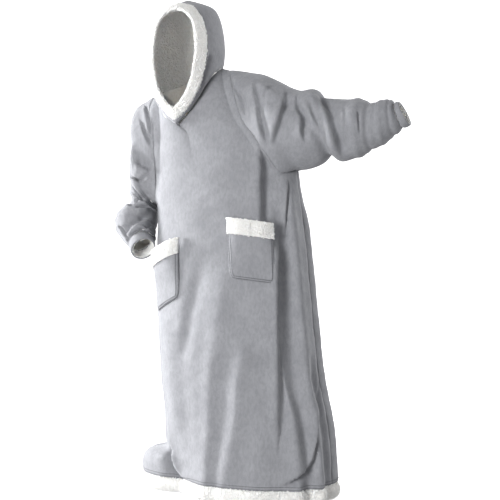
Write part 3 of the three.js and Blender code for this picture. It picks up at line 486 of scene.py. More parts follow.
def wallPiece(name, grid, normals, wall, closed, inward, materials, form=None):
    # a closed wall of cloth: outer face, inner face and cut edges; where the outer face is
    # creased, the inner one follows the uncreased form and stays behind each crease
    rows, columns = grid.shape[:2]
    inner = grid - normals * wall
    if form is not None:
        depth = lowestAround(((grid - form) * normals).sum(-1), closed)
        inner = form + normals * (depth - wall)[..., None]
    points = np.concatenate([grid.reshape(-1, 3), inner.reshape(-1, 3)])
    layer = rows * columns
    index = np.arange(layer).reshape(rows, columns)
    steps = columns if closed else columns - 1
    i = np.arange(steps)
    nextI = (i + 1) % columns
    a, b = index[:-1][:, i], index[:-1][:, nextI]
    c, d = index[1:][:, nextI], index[1:][:, i]
    outside = np.stack([a, b, c, d], -1).reshape(-1, 4)
    inside = outside[:, ::-1] + layer
    rims = [np.stack([i + layer, nextI + layer, nextI, i], -1)]
    top = (rows - 1) * columns
    rims.append(np.stack([top + i, top + nextI, top + nextI + layer, top + i + layer], -1))
    if not closed:
        j = np.arange(rows - 1) * columns
        rims.append(np.stack([j, j + columns, j + columns + layer, j + layer], -1))
        j = j + columns - 1
        rims.append(np.stack([j + layer, j + columns + layer, j + columns, j], -1))
    rims = np.concatenate(rims)
    faces = np.concatenate([outside, inside, rims])
    if inward:
        faces = faces[:, ::-1]
    slots = np.concatenate([np.zeros(len(outside)), np.ones(len(inside)), np.zeros(len(rims))])
    u, v = lengthsAlong(grid, 1), lengthsAlong(grid, 0)
    u = u - u.mean(axis=1, keepdims=True)
    uv = np.stack([u, v], -1).reshape(-1, 2) * millimetre
    uv = np.concatenate([uv, uv])
    return finishMesh(name, points, faces.tolist(), uv, slots, materials)


def gridArea(grid, closed):
    other = np.roll(grid, -1, axis=1) if closed else grid[:, 1:]
    here = grid if closed else grid[:, :-1]
    a, b = other[:-1] - here[:-1], here[1:] - here[:-1]
    return float(np.linalg.norm(np.cross(a, b), axis=-1).sum()) * millimetre ** 2


def seamRoll(grid, normals, closed, edges, depth=2.4, width=7):
    # the cloth dips into each sewn edge
    dip = np.zeros(grid.shape[:2])
    v, u = lengthsAlong(grid, 0), lengthsAlong(grid, 1)
    if "bottom" in edges:
        dip += depth * bump(v, width)
    if "top" in edges:
        dip += depth * bump(v[-1:] - v, width)
    if "start" in edges:
        dip += depth * bump(u, width)
    if "end" in edges:
        dip += depth * bump(u[:, -1:] - u, width)
    return grid - normals * dip[..., None]


def onCloth(grid, closed, places):
    # places given as a share of the way along the cloth and a share of the way across it
    rows, columns = grid.shape[0] - 1, grid.shape[1] - (0 if closed else 1)
    return [grid[round(along * rows), round(across * columns) % grid.shape[1]]
            for along, across in places]


# parts that a fold's line is measured in, how many reaches away it stops, the share of its
# length in which it dies out, and how close to an edge of the cloth it may come
folding = {"steps": 40, "cutOff": 2.2, "taper": 0.26, "edge": 9}


def foldsAlong(grid, closed, inward, folds):
    # creases in the cloth along lines through given places: a swell on one side of the line
    # and a dip on the other, each with its own reach, that die out at both ends
    steps = folding["steps"]
    v, u = lengthsAlong(grid, 0), lengthsAlong(grid, 1)
    kept = smooth(np.minimum(v, v[-1:] - v), 0, folding["edge"])
    if not closed:
        kept = kept * smooth(np.minimum(u, u[:, -1:] - u), 0, folding["edge"])
    normals = softNormals(grid, closed, inward).reshape(-1, 3)
    flat = grid.reshape(-1, 3).copy()
    move = np.zeros(len(flat))
    for name, (swell, swellReach, dip, dipReach, edge), path in folds:
        if len(path[0]) == 2:
            path = onCloth(grid, closed, path)
        line = curveThrough(path, np.linspace(0, 1, steps + 1))
        reach = folding["cutOff"] * max(swellReach, dipReach)
        inBox = ((flat > line.min(0) - reach) & (flat < line.max(0) + reach)).all(1)
        near = np.where(inBox)[0]
        if len(near) == 0:
            continue
        start, along = line[:-1], np.diff(line, axis=0)
        share = ((flat[near, None] - start[None]) * along[None]).sum(-1) / (along ** 2).sum(-1)
        share = np.clip(share, 0, 1)
        away = flat[near, None] - start[None] - share[..., None] * along[None]
        nearest = np.linalg.norm(away, axis=-1).argmin(1)
        rows = np.arange(len(near))
        away, place = away[rows, nearest], (nearest + share[rows, nearest]) / steps
        side = (np.cross(away, along[nearest]) * normals[near]).sum(1)
        distance = np.copysign(np.linalg.norm(away, axis=1), side)
        over = 0.5 + 0.5 * np.tanh(distance / edge)
        shape = (over * swell * bump(distance, swellReach)
                 - (1 - over) * dip * bump(distance, dipReach))
        move[near] += shape * smooth(np.minimum(place, 1 - place), 0, folding["taper"])
    return grid + (normals * (move * kept.reshape(-1))[:, None]).reshape(grid.shape)


# swell, its reach, dip, its reach, how soft the step between them is; the swell lies on the
# left of the line's way, seen from outside
tuck, pleat = (8, 34, 20, 20, 3), (7, 28, 18, 20, 4)
crease, ruck = (4, 16, 13, 9, 2.5), (3, 11, 8, 7, 2.5)
drape, bend = (9, 40, 26, 55, 8), (10, 36, 26, 36, 6)
# name, kind, places from one end to the other: x, y, z, or shares along and across the cloth
frontFolds = [
    ("besidePocket", drape, [(318, -112, -215), (331, -114, -290), (331, -118, -380),
                            (342, -133, -499), (352, -136, -590)]),
    ("longPleat", drape, [(388, -84, -500), (394, -118, -646), (400, -133, -841),
                         (403, -134, -1076), (404, -160, -1280)]),
    ("underArm", crease, [(406, -54, -330), (407, -80, -445), (398, -80, -546)]),
    ("leftTurn", tuck, [(499, 10, -990), (515, -66, -1146), (496, -81, -1289),
                        (462, -142, -1338), (400, -169, -1365)]),
    ("rightTurn", tuck, [(127, -174, -1382), (31, -124, -1368), (-6, -117, -1295),
                         (-35, -91, -1190)]),
]
backFolds = [
    ("sideSweep", pleat, [(0.74, 0.1), (0.55, 0.16), (0.3, 0.2), (0.08, 0.22)]),
    ("backPleat", tuck, [(0.8, 0.36), (0.6, 0.38), (0.35, 0.42), (0.12, 0.43)]),
    ("hollow", pleat, [(0.52, 0.6), (0.36, 0.62), (0.18, 0.66), (0.03, 0.66)]),
    ("shoulderBlade", crease, [(0.9, 0.16), (0.8, 0.22), (0.72, 0.24)]),
    ("farSweep", pleat, [(0.78, 0.9), (0.6, 0.84), (0.4, 0.8), (0.2, 0.8)]),
    ("hemSweep", pleat, [(0.34, 0.3), (0.2, 0.31), (0.04, 0.29)]),
    ("neckRuck", ruck, [(0.95, 0.62), (0.88, 0.7), (0.84, 0.8)]),
]
leftFolds = [
    ("raglanTuck", crease, [(190, -30, 10), (193, -53, -11), (247, -93, -83), (262, -105, -145)]),
    ("shoulderCrease", pleat, [(285, -62, -2), (297, -97, -52), (314, -108, -116),
                                (332, -119, -183), (348, -115, -240)]),
    ("shoulderHook", ruck, [(350, -50, -22), (335, -91, -41), (329, -95, -58), (323, -97, -84)]),
    ("upperArm", pleat, [(394, -45, -36), (397, -80, -85), (394, -115, -140), (381, -117, -184),
                          (362, -111, -244)]),
    ("elbowFront", pleat, [(432, -55, -58), (440, -82, -106), (462, -92, -140),
                           (467, -106, -188), (475, -99, -232)]),
    ("elbowTuck", bend, [(500, -20, -66), (515, -45, -84), (549, -84, -129), (574, -97, -197),
                         (583, -79, -238), (590, -35, -279)]),
    ("forearmCrease", ruck, [(594, -66, -98), (604, -85, -130), (612, -93, -186)]),
    ("forearmRuck", ruck, [(646, -70, -122), (650, -80, -150), (656, -79, -205)]),
    ("backShoulder", crease, [(0.24, 0.9), (0.2, 0.78), (0.15, 0.65), (0.13, 0.56)]),
    ("backUpper", tuck, [(0.37, 0.88), (0.37, 0.76), (0.34, 0.64), (0.31, 0.55)]),
    ("backElbow", pleat, [(0.51, 0.92), (0.53, 0.8), (0.51, 0.68), (0.48, 0.58)]),
    ("backForearm", ruck, [(0.66, 0.82), (0.65, 0.7), (0.64, 0.6)]),
    ("backWrist", ruck, [(0.78, 0.86), (0.78, 0.74), (0.76, 0.62)]),
]
rightFolds = [
    ("raglanFold", crease, [(-154, -38, -60), (-113, -86, -126), (-95, -99, -190)]),
    ("upperCrease", crease, [(-150, -84, -120), (-119, -99, -177), (-91, -99, -229)]),
    ("upperSlit", pleat, [(-152, -98, -286), (-136, -104, -292), (-114, -99, -302),
                          (-92, -93, -317)]),
    ("eyeTop", crease, [(-140, -92, -352), (-131, -90, -347), (-109, -94, -329),
                        (-85, -90, -327)]),
    ("eyeLow", ruck, [(-138, -92, -349), (-115, -87, -357), (-94, -81, -370)]),
    ("elbowCrease", crease, [(-196, -80, -322), (-182, -93, -331), (-152, -98, -342),
                             (-130, -86, -357)]),
    ("forearmFold", pleat, [(-196, -60, -432), (-171, -99, -429), (-136, -89, -415),
                            (-104, -59, -411)]),
    ("forearmRuck", crease, [(-160, -92, -441), (-137, -81, -439), (-105, -54, -441)]),
    ("wristFold", pleat, [(-196, -118, -536), (-176, -120, -527), (-152, -119, -499),
                          (-129, -83, -483), (-119, -25, -476)]),
    ("outerCrease", crease, [(-216, -100, -500), (-206, -110, -514), (-183, -116, -541),
                             (-167, -118, -550)]),
    ("lowCrease", crease, [(-178, -118, -560), (-168, -118, -552), (-128, -102, -521),
                           (-113, -45, -508)]),
    ("behindArm", pleat, [(0.1, 0.7), (0.24, 0.76), (0.38, 0.78)]),
    ("behindElbow", crease, [(0.52, 0.62), (0.54, 0.72), (0.53, 0.84)]),
    ("behindWrist", ruck, [(0.78, 0.62), (0.8, 0.72), (0.79, 0.84)]),
]
hoodLeftFolds = [
    ("besideTrim", pleat, [(128, -96, 90), (127, -106, 58), (118, -118, 10), (104, -122, -50)]),
]
hoodRightFolds = [
    ("besideTrimRight", crease, [(0.14, 0.5), (0.12, 0.38), (0.14, 0.24), (0.2, 0.14)]),
    ("napeRuck", ruck, [(0.9, 0.3), (0.8, 0.42), (0.72, 0.56)]),
]


# Materials

def linear(hexColour):
    values = [int(hexColour[k:k + 2], 16) / 255 for k in (1, 3, 5)]
    return [v / 12.92 if v <= 0.04045 else ((v + 0.055) / 1.055) ** 2.4 for v in values] + [1.0]


def addNode(tree, kind, inputs=None, **settings):
    node = tree.nodes.new(kind)
    for key, value in settings.items():
        setattr(node, key, value)
    for key, value in (inputs or {}).items():
        socket = node.inputs[key]
        if isinstance(value, bpy.types.NodeSocket):
            tree.links.new(value, socket)
        else:
            socket.default_value = value
    return node


def newMaterial(name):
    material = bpy.data.materials.new(name)
    material.use_nodes = True
    tree = material.node_tree
    tree.nodes.clear()
    place = addNode(tree, "ShaderNodeTexCoord").outputs["Object"]
    return material, tree, place


# Polyester flannel fleece, knitted and brushed on one side: short nap that lies one way here
# and another there, so it shows soft lighter and darker patches and a pale edge. Lengths are in
# metres; the fibres, a tenth of a millimetre thick, are drawn coarser so that they show
flannel = {
    "light": "#929397", "mid": "#898a8e", "dark": "#707176", "patch": 0.07, "brush": 0.009,
    "fibre": 0.0016, "napHeight": 0.0009, "roughness": 0.95, "sheen": 0.3,
}


def makeFlannel(name):
    material, tree, place = newMaterial(name)
    patch = addNode(tree, "ShaderNodeTexNoise", {
        "Vector": place, "Scale": 1 / flannel["patch"], "Detail": 2.0, "Roughness": 0.5})
    patches = addNode(tree, "ShaderNodeMapRange", {
        "Value": patch.outputs[0], "From Min": 0.35, "From Max": 0.65})
    lie = addNode(tree, "ShaderNodeMapping", {"Vector": place, "Scale": (1.0, 1.0, 0.5)})
    brush = addNode(tree, "ShaderNodeTexNoise", {
        "Vector": lie.outputs[0], "Scale": 1 / flannel["brush"], "Detail": 4.0,
        "Roughness": 0.62, "Distortion": 0.4})
    brushed = addNode(tree, "ShaderNodeMapRange", {
        "Value": brush.outputs[0], "From Min": 0.36, "From Max": 0.6, "To Min": 0.42,
        "To Max": 0.0})
    fibre = addNode(tree, "ShaderNodeTexNoise", {
        "Vector": place, "Scale": 1 / flannel["fibre"], "Detail": 2.0, "Roughness": 0.7})
    fibres = addNode(tree, "ShaderNodeMapRange", {
        "Value": fibre.outputs[0], "From Min": 0.3, "From Max": 0.7, "To Min": 0.0, "To Max": 0.3})
    base = addNode(tree, "ShaderNodeMix", {
        0: patches.outputs[0], 6: linear(flannel["mid"]), 7: linear(flannel["light"])},
        data_type="RGBA")
    shaded = addNode(tree, "ShaderNodeMix", {
        0: brushed.outputs[0], 6: base.outputs[2], 7: linear(flannel["dark"])}, data_type="RGBA")
    colour = addNode(tree, "ShaderNodeMix", {
        0: fibres.outputs[0], 6: shaded.outputs[2], 7: linear(flannel["light"])},
        data_type="RGBA")
    height = addNode(tree, "ShaderNodeMath", {
        0: brush.outputs[0], 1: 0.8, 2: fibre.outputs[0]}, operation="MULTIPLY_ADD")
    nap = addNode(tree, "ShaderNodeBump", {
        "Strength": 0.6, "Distance": flannel["napHeight"], "Height": height.outputs[0]})
    shader = addNode(tree, "ShaderNodeBsdfPrincipled", {
        "Base Color": colour.outputs[2], "Roughness": flannel["roughness"],
        "Normal": nap.outputs[0], "Specular IOR Level": 0.2, "Sheen Weight": flannel["sheen"],
        "Sheen Roughness": 0.5, "Sheen Tint": linear("#e2e3e6")})
    addNode(tree, "ShaderNodeOutputMaterial", {"Surface": shader.outputs[0]})
    return material


# Polyester sherpa, a looped pile that has curled into small nubs: matt, off-white, with a
# little shade between the curls, which are 4 to 6 mm across. Lengths are in metres
sherpa = {
    "light": "#fdfdfb", "shade": "#f0eeea", "curl": 0.0062, "fuzz": 0.0013,
    "curlHeight": 0.002, "roughness": 0.95, "sheen": 0.3, "scatter": 0.35, "depth": 0.004,
}


def makeSherpa(name):
    material, tree, place = newMaterial(name)
    curls = addNode(tree, "ShaderNodeTexVoronoi", {
        "Vector": place, "Scale": 1 / sherpa["curl"], "Smoothness": 0.6, "Randomness": 1.0},
        feature="SMOOTH_F1")
    fuzz = addNode(tree, "ShaderNodeTexNoise", {
        "Vector": place, "Scale": 1 / sherpa["fuzz"], "Detail": 2.0})
    drift = addNode(tree, "ShaderNodeTexNoise", {"Vector": place, "Scale": 28.0, "Detail": 2.0})
    valley = addNode(tree, "ShaderNodeMapRange", {
        "Value": curls.outputs["Distance"], "From Min": 0.3, "From Max": 0.8, "To Min": 0.0,
        "To Max": 0.7})
    drifts = addNode(tree, "ShaderNodeMapRange", {
        "Value": drift.outputs[0], "From Min": 0.4, "From Max": 0.7, "To Min": 0.0,
        "To Max": 0.3})
    pale = addNode(tree, "ShaderNodeMix", {
        0: valley.outputs[0], 6: linear(sherpa["light"]), 7: linear(sherpa["shade"])},
        data_type="RGBA")
    colour = addNode(tree, "ShaderNodeMix", {
        0: drifts.outputs[0], 6: pale.outputs[2], 7: linear(sherpa["shade"])}, data_type="RGBA")
    height = addNode(tree, "ShaderNodeMath", {
        0: curls.outputs["Distance"], 1: -1.0, 2: fuzz.outputs[0]}, operation="MULTIPLY_ADD")
    pile = addNode(tree, "ShaderNodeBump", {
        "Strength": 0.7, "Distance": sherpa["curlHeight"], "Height": height.outputs[0]})
    shader = addNode(tree, "ShaderNodeBsdfPrincipled", {
        "Base Color": colour.outputs[2], "Roughness": sherpa["roughness"],
        "Normal": pile.outputs[0], "Specular IOR Level": 0.15, "Sheen Weight": sherpa["sheen"],
        "Sheen Roughness": 0.5, "Sheen Tint": linear("#ffffff"),
        "Subsurface Weight": sherpa["scatter"], "Subsurface Scale": sherpa["depth"],
        "Subsurface Radius": (1.0, 0.95, 0.9)})
    addNode(tree, "ShaderNodeOutputMaterial", {"Surface": shader.outputs[0]})
    return material


# Spun polyester thread, twisted, darker than the fleece that it sews; the twist is drawn
# coarser than it is so that it shows
thread = {"colour": "#55575c", "ply": "#6a6c71", "roughness": 0.6, "twist": 0.0008}


def makeThread(name):
    material, tree, place = newMaterial(name)
    twist = addNode(tree, "ShaderNodeTexNoise", {"Vector": place, "Scale": 1 / thread["twist"]})
    ply = addNode(tree, "ShaderNodeMapRange", {
        "Value": twist.outputs[0], "From Min": 0.4, "From Max": 0.6})
    relief = addNode(tree, "ShaderNodeBump", {
        "Strength": 0.4, "Distance": 0.0002, "Height": twist.outputs[0]})
    colour = addNode(tree, "ShaderNodeMix", {
        0: ply.outputs[0], 6: linear(thread["colour"]), 7: linear(thread["ply"])},
        data_type="RGBA")
    shader = addNode(tree, "ShaderNodeBsdfPrincipled", {
        "Base Color": colour.outputs[2], "Roughness": thread["roughness"],
        "Normal": relief.outputs[0]})
    addNode(tree, "ShaderNodeOutputMaterial", {"Surface": shader.outputs[0]})
    return material


flannelFleece = makeFlannel("brushedFlannelFleece")
sherpaPile = makeSherpa("curledSherpaPile")
polyesterThread = makeThread("spunPolyesterThread")
print("materials made")

# Geometry Nodes: curls over a cloth, and stitches along a line


def newTree(name, inputs):
    tree = bpy.data.node_groups.new(name, "GeometryNodeTree")
    for label, kind in inputs:
        tree.interface.new_socket(label, in_out="INPUT", socket_type=kind)
    tree.interface.new_socket("Geometry", in_out="OUTPUT", socket_type="NodeSocketGeometry")
    return tree, addNode(tree, "NodeGroupInput").outputs


def endTree(tree, geometry, material):
    real = addNode(tree, "GeometryNodeRealizeInstances", {"Geometry": geometry})
    painted = addNode(tree, "GeometryNodeSetMaterial", {
        "Geometry": real.outputs[0], "Material": material})
    addNode(tree, "NodeGroupOutput", {0: painted.outputs[0]})


def makeTuftTree():
    tree, given = newTree("sherpaCurls", [
        ("Cloth", "NodeSocketGeometry"), ("Curl", "NodeSocketObject"),
        ("Spacing", "NodeSocketFloat"), ("Density", "NodeSocketFloat"),
        ("Smallest", "NodeSocketFloat"), ("Largest", "NodeSocketFloat"),
        ("Seed", "NodeSocketInt"), ("Material", "NodeSocketMaterial")])
    points = addNode(tree, "GeometryNodeDistributePointsOnFaces", {
        "Mesh": given["Cloth"], "Distance Min": given["Spacing"],
        "Density Max": given["Density"], "Seed": given["Seed"]}, distribute_method="POISSON")
    curl = addNode(tree, "GeometryNodeObjectInfo", {"Object": given["Curl"]})
    lean = addNode(tree, "FunctionNodeRandomValue", {
        0: (-curlShape["lean"], -curlShape["lean"], -math.pi),
        1: (curlShape["lean"], curlShape["lean"], math.pi), "Seed": given["Seed"]},
        data_type="FLOAT_VECTOR")
    spin = addNode(tree, "FunctionNodeEulerToRotation", {0: lean.outputs[0]})
    turned = addNode(tree, "FunctionNodeRotateRotation", {
        "Rotation": points.outputs["Rotation"], "Rotate By": spin.outputs[0]},
        rotation_space="LOCAL")
    size = addNode(tree, "FunctionNodeRandomValue", {
        2: given["Smallest"], 3: given["Largest"], "Seed": given["Seed"]}, data_type="FLOAT")
    curls = addNode(tree, "GeometryNodeInstanceOnPoints", {
        "Points": points.outputs["Points"], "Instance": curl.outputs["Geometry"],
        "Rotation": turned.outputs[0], "Scale": size.outputs[1]})
    endTree(tree, curls.outputs[0], given["Material"])
    return tree


def makeStitchTree():
    tree, given = newTree("stitchRow", [
        ("Line", "NodeSocketGeometry"), ("Stitch", "NodeSocketObject"),
        ("Pitch", "NodeSocketFloat"), ("Material", "NodeSocketMaterial")])
    curve = addNode(tree, "GeometryNodeMeshToCurve", {"Mesh": given["Line"]})
    spaced = addNode(tree, "GeometryNodeResampleCurve", {
        "Curve": curve.outputs[0], "Length": given["Pitch"]}, mode="LENGTH")
    along = addNode(tree, "GeometryNodeInputTangent")
    aligned = addNode(tree, "FunctionNodeAlignRotationToVector", {
        "Vector": along.outputs[0]}, axis="X")
    stitch = addNode(tree, "GeometryNodeObjectInfo", {"Object": given["Stitch"]})
    row = addNode(tree, "GeometryNodeInstanceOnPoints", {
        "Points": spaced.outputs[0], "Instance": stitch.outputs["Geometry"],
        "Rotation": aligned.outputs[0]})
    endTree(tree, row.outputs[0], given["Material"])
    return tree


def tubeMesh(name, path, radius, sides):
    # a short tube along a path, tapering to closed ends
    path = np.asarray(path, float)
    heading = unit(np.gradient(path, axis=0))
    side = unit(np.cross(heading, [0.2, 0.3, 0.93]))
    other = np.cross(heading, side)
    angles = 2 * np.pi * np.arange(sides) / sides
    share = np.linspace(0, 1, len(path))
    width = radius * np.clip(np.sin(np.pi * (0.14 + 0.72 * share)), 0.2, 1)
    rings = (path[:, None] + width[:, None, None] * (
        side[:, None] * np.cos(angles)[None, :, None]
        + other[:, None] * np.sin(angles)[None, :, None]))
    count = len(path)
    faces = []
    for j in range(count - 1):
        for i in range(sides):
            k = (i + 1) % sides
            faces.append((j * sides + i, j * sides + k, (j + 1) * sides + k, (j + 1) * sides + i))
    faces.append(tuple(reversed(range(sides))))
    faces.append(tuple((count - 1) * sides + i for i in range(sides)))
    return finishMesh(name, rings.reshape(-1, 3), faces)


# One curl of the pile: three quarters of a turn, standing a little off the cloth
curlShape = {"radius": 2.3, "thread": 1.5, "rise": 2.2, "turns": 0.8, "steps": 5, "sides": 4,
             "lean": 0.7}
# Stitches, in rows of two: real thread is half a millimetre thick, drawn thicker so it shows
stitchShape = {"length": 4.4, "thread": 1.1, "pitch": 5.0, "row": 9.0,
               "lift": 1.0, "hemInset": 5, "hemLift": 0.3}


def makeCurl():
    turned = np.linspace(0, 2 * np.pi * curlShape["turns"], curlShape["steps"])
    path = np.stack([curlShape["radius"] * np.cos(turned),
                     curlShape["radius"] * np.sin(turned) * 0.8,
                     curlShape["rise"] * (0.3 + 0.7 * np.sin(turned / 2))], -1)
    return tubeMesh("oneCurl", path, curlShape["thread"], curlShape["sides"])


def makeStitch():
    half = stitchShape["length"] / 2
    path = [(-half, 0, 0), (-half / 2, 0, 0.15), (half / 2, 0, 0.15), (half, 0, 0)]
    return tubeMesh("oneStitch", path, stitchShape["thread"], 4)


def runTree(name, source, tree, values):
    # the tree's result as a plain mesh, with the source removed
    modifier = source.modifiers.new("made", "NODES")
    modifier.node_group = tree
    for item in tree.interface.items_tree:
        if item.in_out == "INPUT" and item.name in values:
            modifier[item.identifier] = values[item.name]
    source.update_tag()
    depsgraph = bpy.context.evaluated_depsgraph_get()
    mesh = bpy.data.meshes.new_from_object(source.evaluated_get(depsgraph))
    mesh.name = name
    source.modifiers.remove(modifier)
    bpy.data.objects.remove(source)
    piece = bpy.data.objects.new(name, mesh)
    bpy.context.scene.collection.objects.link(piece)
    mesh.polygons.foreach_set("use_smooth", np.ones(len(mesh.polygons), dtype=bool))
    return piece


curlTree, stitchTree = makeTuftTree(), makeStitchTree()
oneCurl, oneStitch = makeCurl(), makeStitch()
# millimetres between curls, and their sizes as shares of one curl
pile = {"spacing": 3.9, "smallest": 0.75, "largest": 1.25, "crowd": 1.6}


def addCurls(name, grid, closed, inward, spacing=1.0, seed=3, size=1.0):
    # curls over a grid of points, on the side that faces outward
    rows, columns = grid.shape[:2]
    index = np.arange(rows * columns).reshape(rows, columns)
    steps = columns if closed else columns - 1
    i = np.arange(steps)
    k = (i + 1) % columns
    faces = np.stack([index[:-1][:, i], index[:-1][:, k], index[1:][:, k], index[1:][:, i]], -1)
    faces = faces.reshape(-1, 4)
    if inward:
        faces = faces[:, ::-1]
    cloth = finishMesh(name + "Cloth", grid.reshape(-1, 3), faces.tolist())
    gap = pile["spacing"] * spacing * millimetre
    piece = runTree(name, cloth, curlTree, {
        "Curl": oneCurl, "Spacing": gap, "Density": pile["crowd"] / gap ** 2,
        "Smallest": pile["smallest"] * size, "Largest": pile["largest"] * size,
        "Seed": seed, "Material": sherpaPile})
    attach(piece, "root")
    print(name, "curl triangles", sum(len(p.vertices) - 2 for p in piece.data.polygons))
    return piece


def addStitches(name, lines):
    points, edges = [], []
    for line in lines:
        start = len(points)
        points.extend(np.asarray(line).tolist())
        edges.extend((start + k, start + k + 1) for k in range(len(line) - 1))
    mesh = bpy.data.meshes.new(name + "Line")
    mesh.from_pydata((np.array(points) * millimetre).tolist(), edges, [])
    source = bpy.data.objects.new(name + "Line", mesh)
    bpy.context.scene.collection.objects.link(source)
    piece = runTree(name, source, stitchTree, {
        "Stitch": oneStitch, "Pitch": stitchShape["pitch"] * millimetre,
        "Material": polyesterThread})
    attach(piece, "root")
    return piece


# Pieces

def uneven(grid, normals, amount, seed=0):
    # slow, soft unevenness of cloth that isn't pulled tight
    x, y, z = (grid[..., k] for k in range(3))
    wave = (np.sin(x / 31 + 1.3 * seed + z / 57) * np.sin(z / 43 + y / 29 + seed)
            + 0.6 * np.sin(x / 17 - z / 23 + 2 * seed) * np.sin(z / 19 + y / 15))
    edge = edgeFade(grid, 12)
    return grid + normals * (amount * wave * edge)[..., None]


def edgeFade(grid, width):
    v = lengthsAlong(grid, 0)
    return smooth(np.minimum(v, v[-1:] - v), 0, width)


def declare(piece, node, grid, closed, flat, area=None):
    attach(piece, "root")
    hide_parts(node)
    print(node, "cloth", round(gridArea(grid, closed), 4), "m2, cut", flat, area)


skirtRows, yokeRows = ((150, 60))
panels = {
    "front_panel": {"angles": (-90, 90), "seams": ("rightFront", "leftFront"), "columns": 180,
                    "flat": (0.94, 1.42), "area": 1.0, "folds": frontFolds},
    "back_panel": {"angles": (90, 270), "seams": ("leftBack", "rightBack"), "columns": 130,
                   "flat": (0.94, 1.46), "area": 1.0, "folds": backFolds},
}
panelUneven = 1.1
grids = {}
for node, panel in panels.items():
    low, high = panel["angles"]
    columns = panel["columns"] // 1
    grid = panelGrid(low, high, *panel["seams"], node == "front_panel", columns, skirtRows,
                     yokeRows)
    grid = evenRows(grid, skirtRows)
    form, plain = grid, softNormals(grid, False, False)
    grid = foldsAlong(grid, False, False, panel["folds"])
    normals = gridNormals(grid, False, False)
    grid = uneven(grid, normals, panelUneven, seed=len(grids))
    grid = seamRoll(grid, normals, False, ("bottom", "top", "start", "end"))
    grids[node] = grid
    piece = wallPiece(node + "_cloth", grid, plain, body["wall"], False, False,
                      (flannelFleece, sherpaPile), form)
    declare(piece, node, grid, False, panel["flat"], panel["area"])
print("panels made")

sleeves = {
    "left": {"armpit": 90, "sections": leftSections, "end": leftCuffEnd, "rings": leftRings,
             "folds": leftSleeveFolds, "inward": True, "flat": (0.62, 0.60), "area": 0.34,
             "cuffFlat": (0.29, 0.03), "creased": leftFolds},
    "right": {"armpit": -90, "sections": rightSections, "end": rightCuffEnd, "rings": rightRings,
              "folds": rightSleeveFolds, "inward": False, "flat": (0.62, 0.50), "area": 0.26,
              "cuffFlat": (0.29, 0.045), "creased": rightFolds},
    "rows": 164, "columns": 172, "uneven": 1.3, "cuffRows": 10, "cuffRoll": 2.5,
    "cuffWall": 5.5, "cuffSeamDip": 2, "cuffSeamWidth": 4, "lipSink": 0.5, "pileSpacing": 1.1,
    "pileSeed": 5,
}
sleeveRows, sleeveColumns = (((sleeves["rows"], sleeves["columns"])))
for side in ("left", "right"):
    sleeve = sleeves[side]
    inward = sleeve["inward"]
    grid, end = sleeveGrid(side, sleeve["armpit"], sleeve["sections"], sleeve["end"],
                           sleeve["folds"], sleeve["rings"], inward, sleeveRows, sleeveColumns)
    wrist = grid[-1].copy()
    form, plain = grid, softNormals(grid, True, inward)
    grid = foldsAlong(grid, True, inward, sleeve["creased"])
    normals = gridNormals(grid, True, inward)
    grid = uneven(grid, normals, sleeves["uneven"], seed=4 + inward)
    grid = seamRoll(grid, normals, True, ("bottom", "top"))
    grids["sleeve_" + side] = grid
    piece = wallPiece(f"sleeve_{side}_cloth", grid, plain, body["wall"], True, inward,
                      (flannelFleece, sherpaPile), form)
    declare(piece, "sleeve_" + side, grid, True, sleeve["flat"], sleeve["area"])

    steps = np.linspace(0, 1, sleeves["cuffRows"])[:, None, None]
    cuff = wrist[None] * (1 - steps) + end[None] * steps
    normals = gridNormals(cuff, True, inward)
    cuff = cuff + normals * (sleeves["cuffRoll"] * np.sin(np.pi * steps))
    cuff = seamRoll(cuff, normals, True, ("bottom",), sleeves["cuffSeamDip"],
                    sleeves["cuffSeamWidth"])
    piece = wallPiece(f"cuff_{side}_cloth", cuff, gridNormals(cuff, True, inward),
                      sleeves["cuffWall"], True, inward, (flannelFleece, sherpaPile))
    depth = sleeves["cuffWall"] - sleeves["lipSink"]
    lip = cuff - gridNormals(cuff, True, inward) * depth
    lining = addCurls(f"cuff_{side}_pile", lip, True, not inward, sleeves["pileSpacing"],
                      sleeves["pileSeed"])
    declare(piece, "cuff_" + side, cuff, True, sleeve["cuffFlat"], None)
print("sleeves made")

hood = {"rows": 70, "columns": 84, "flat": (0.30, 0.40), "area": 0.085, "lining": 4.2,
        "uneven": 0.9, "pileSpacing": 1.35, "pileSeed": 11, "pileSize": 1.3}
hoodRows, hoodColumns = ((hood["rows"], hood["columns"]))
for side, node in ((1, "hood_left"), (-1, "hood_right")):
    inward = side > 0
    grid = hoodGrid(side, hoodRows, hoodColumns)
    grid = foldsAlong(grid, False, inward, hoodLeftFolds if side > 0 else hoodRightFolds)
    normals = gridNormals(grid, False, inward)
    grid = uneven(grid, normals, hood["uneven"], seed=8 + side)
    grid = seamRoll(grid, normals, False, ("top", "start", "end"))
    grids[node] = grid
    normals = gridNormals(grid, False, inward)
    piece = wallPiece(node + "_cloth", grid, normals, body["wall"], False, inward,
                      (flannelFleece, sherpaPile))
    inside = grid - normals * hood["lining"]
    lining = addCurls(node + "_pile", inside, False, not inward, hood["pileSpacing"],
                      hood["pileSeed"], hood["pileSize"])
    declare(piece, node, grid, False, hood["flat"], hood["area"])
print("hood made")

trim = {"pile": 21, "face": 0.62, "sink": 4.5, "wideFullness": 0.75, "thickFullness": 0.85,
        "steps": 180, "sides": 22, "pileSpacing": 0.98, "pileSeed": 21, "flat": (0.05, 0.86)}


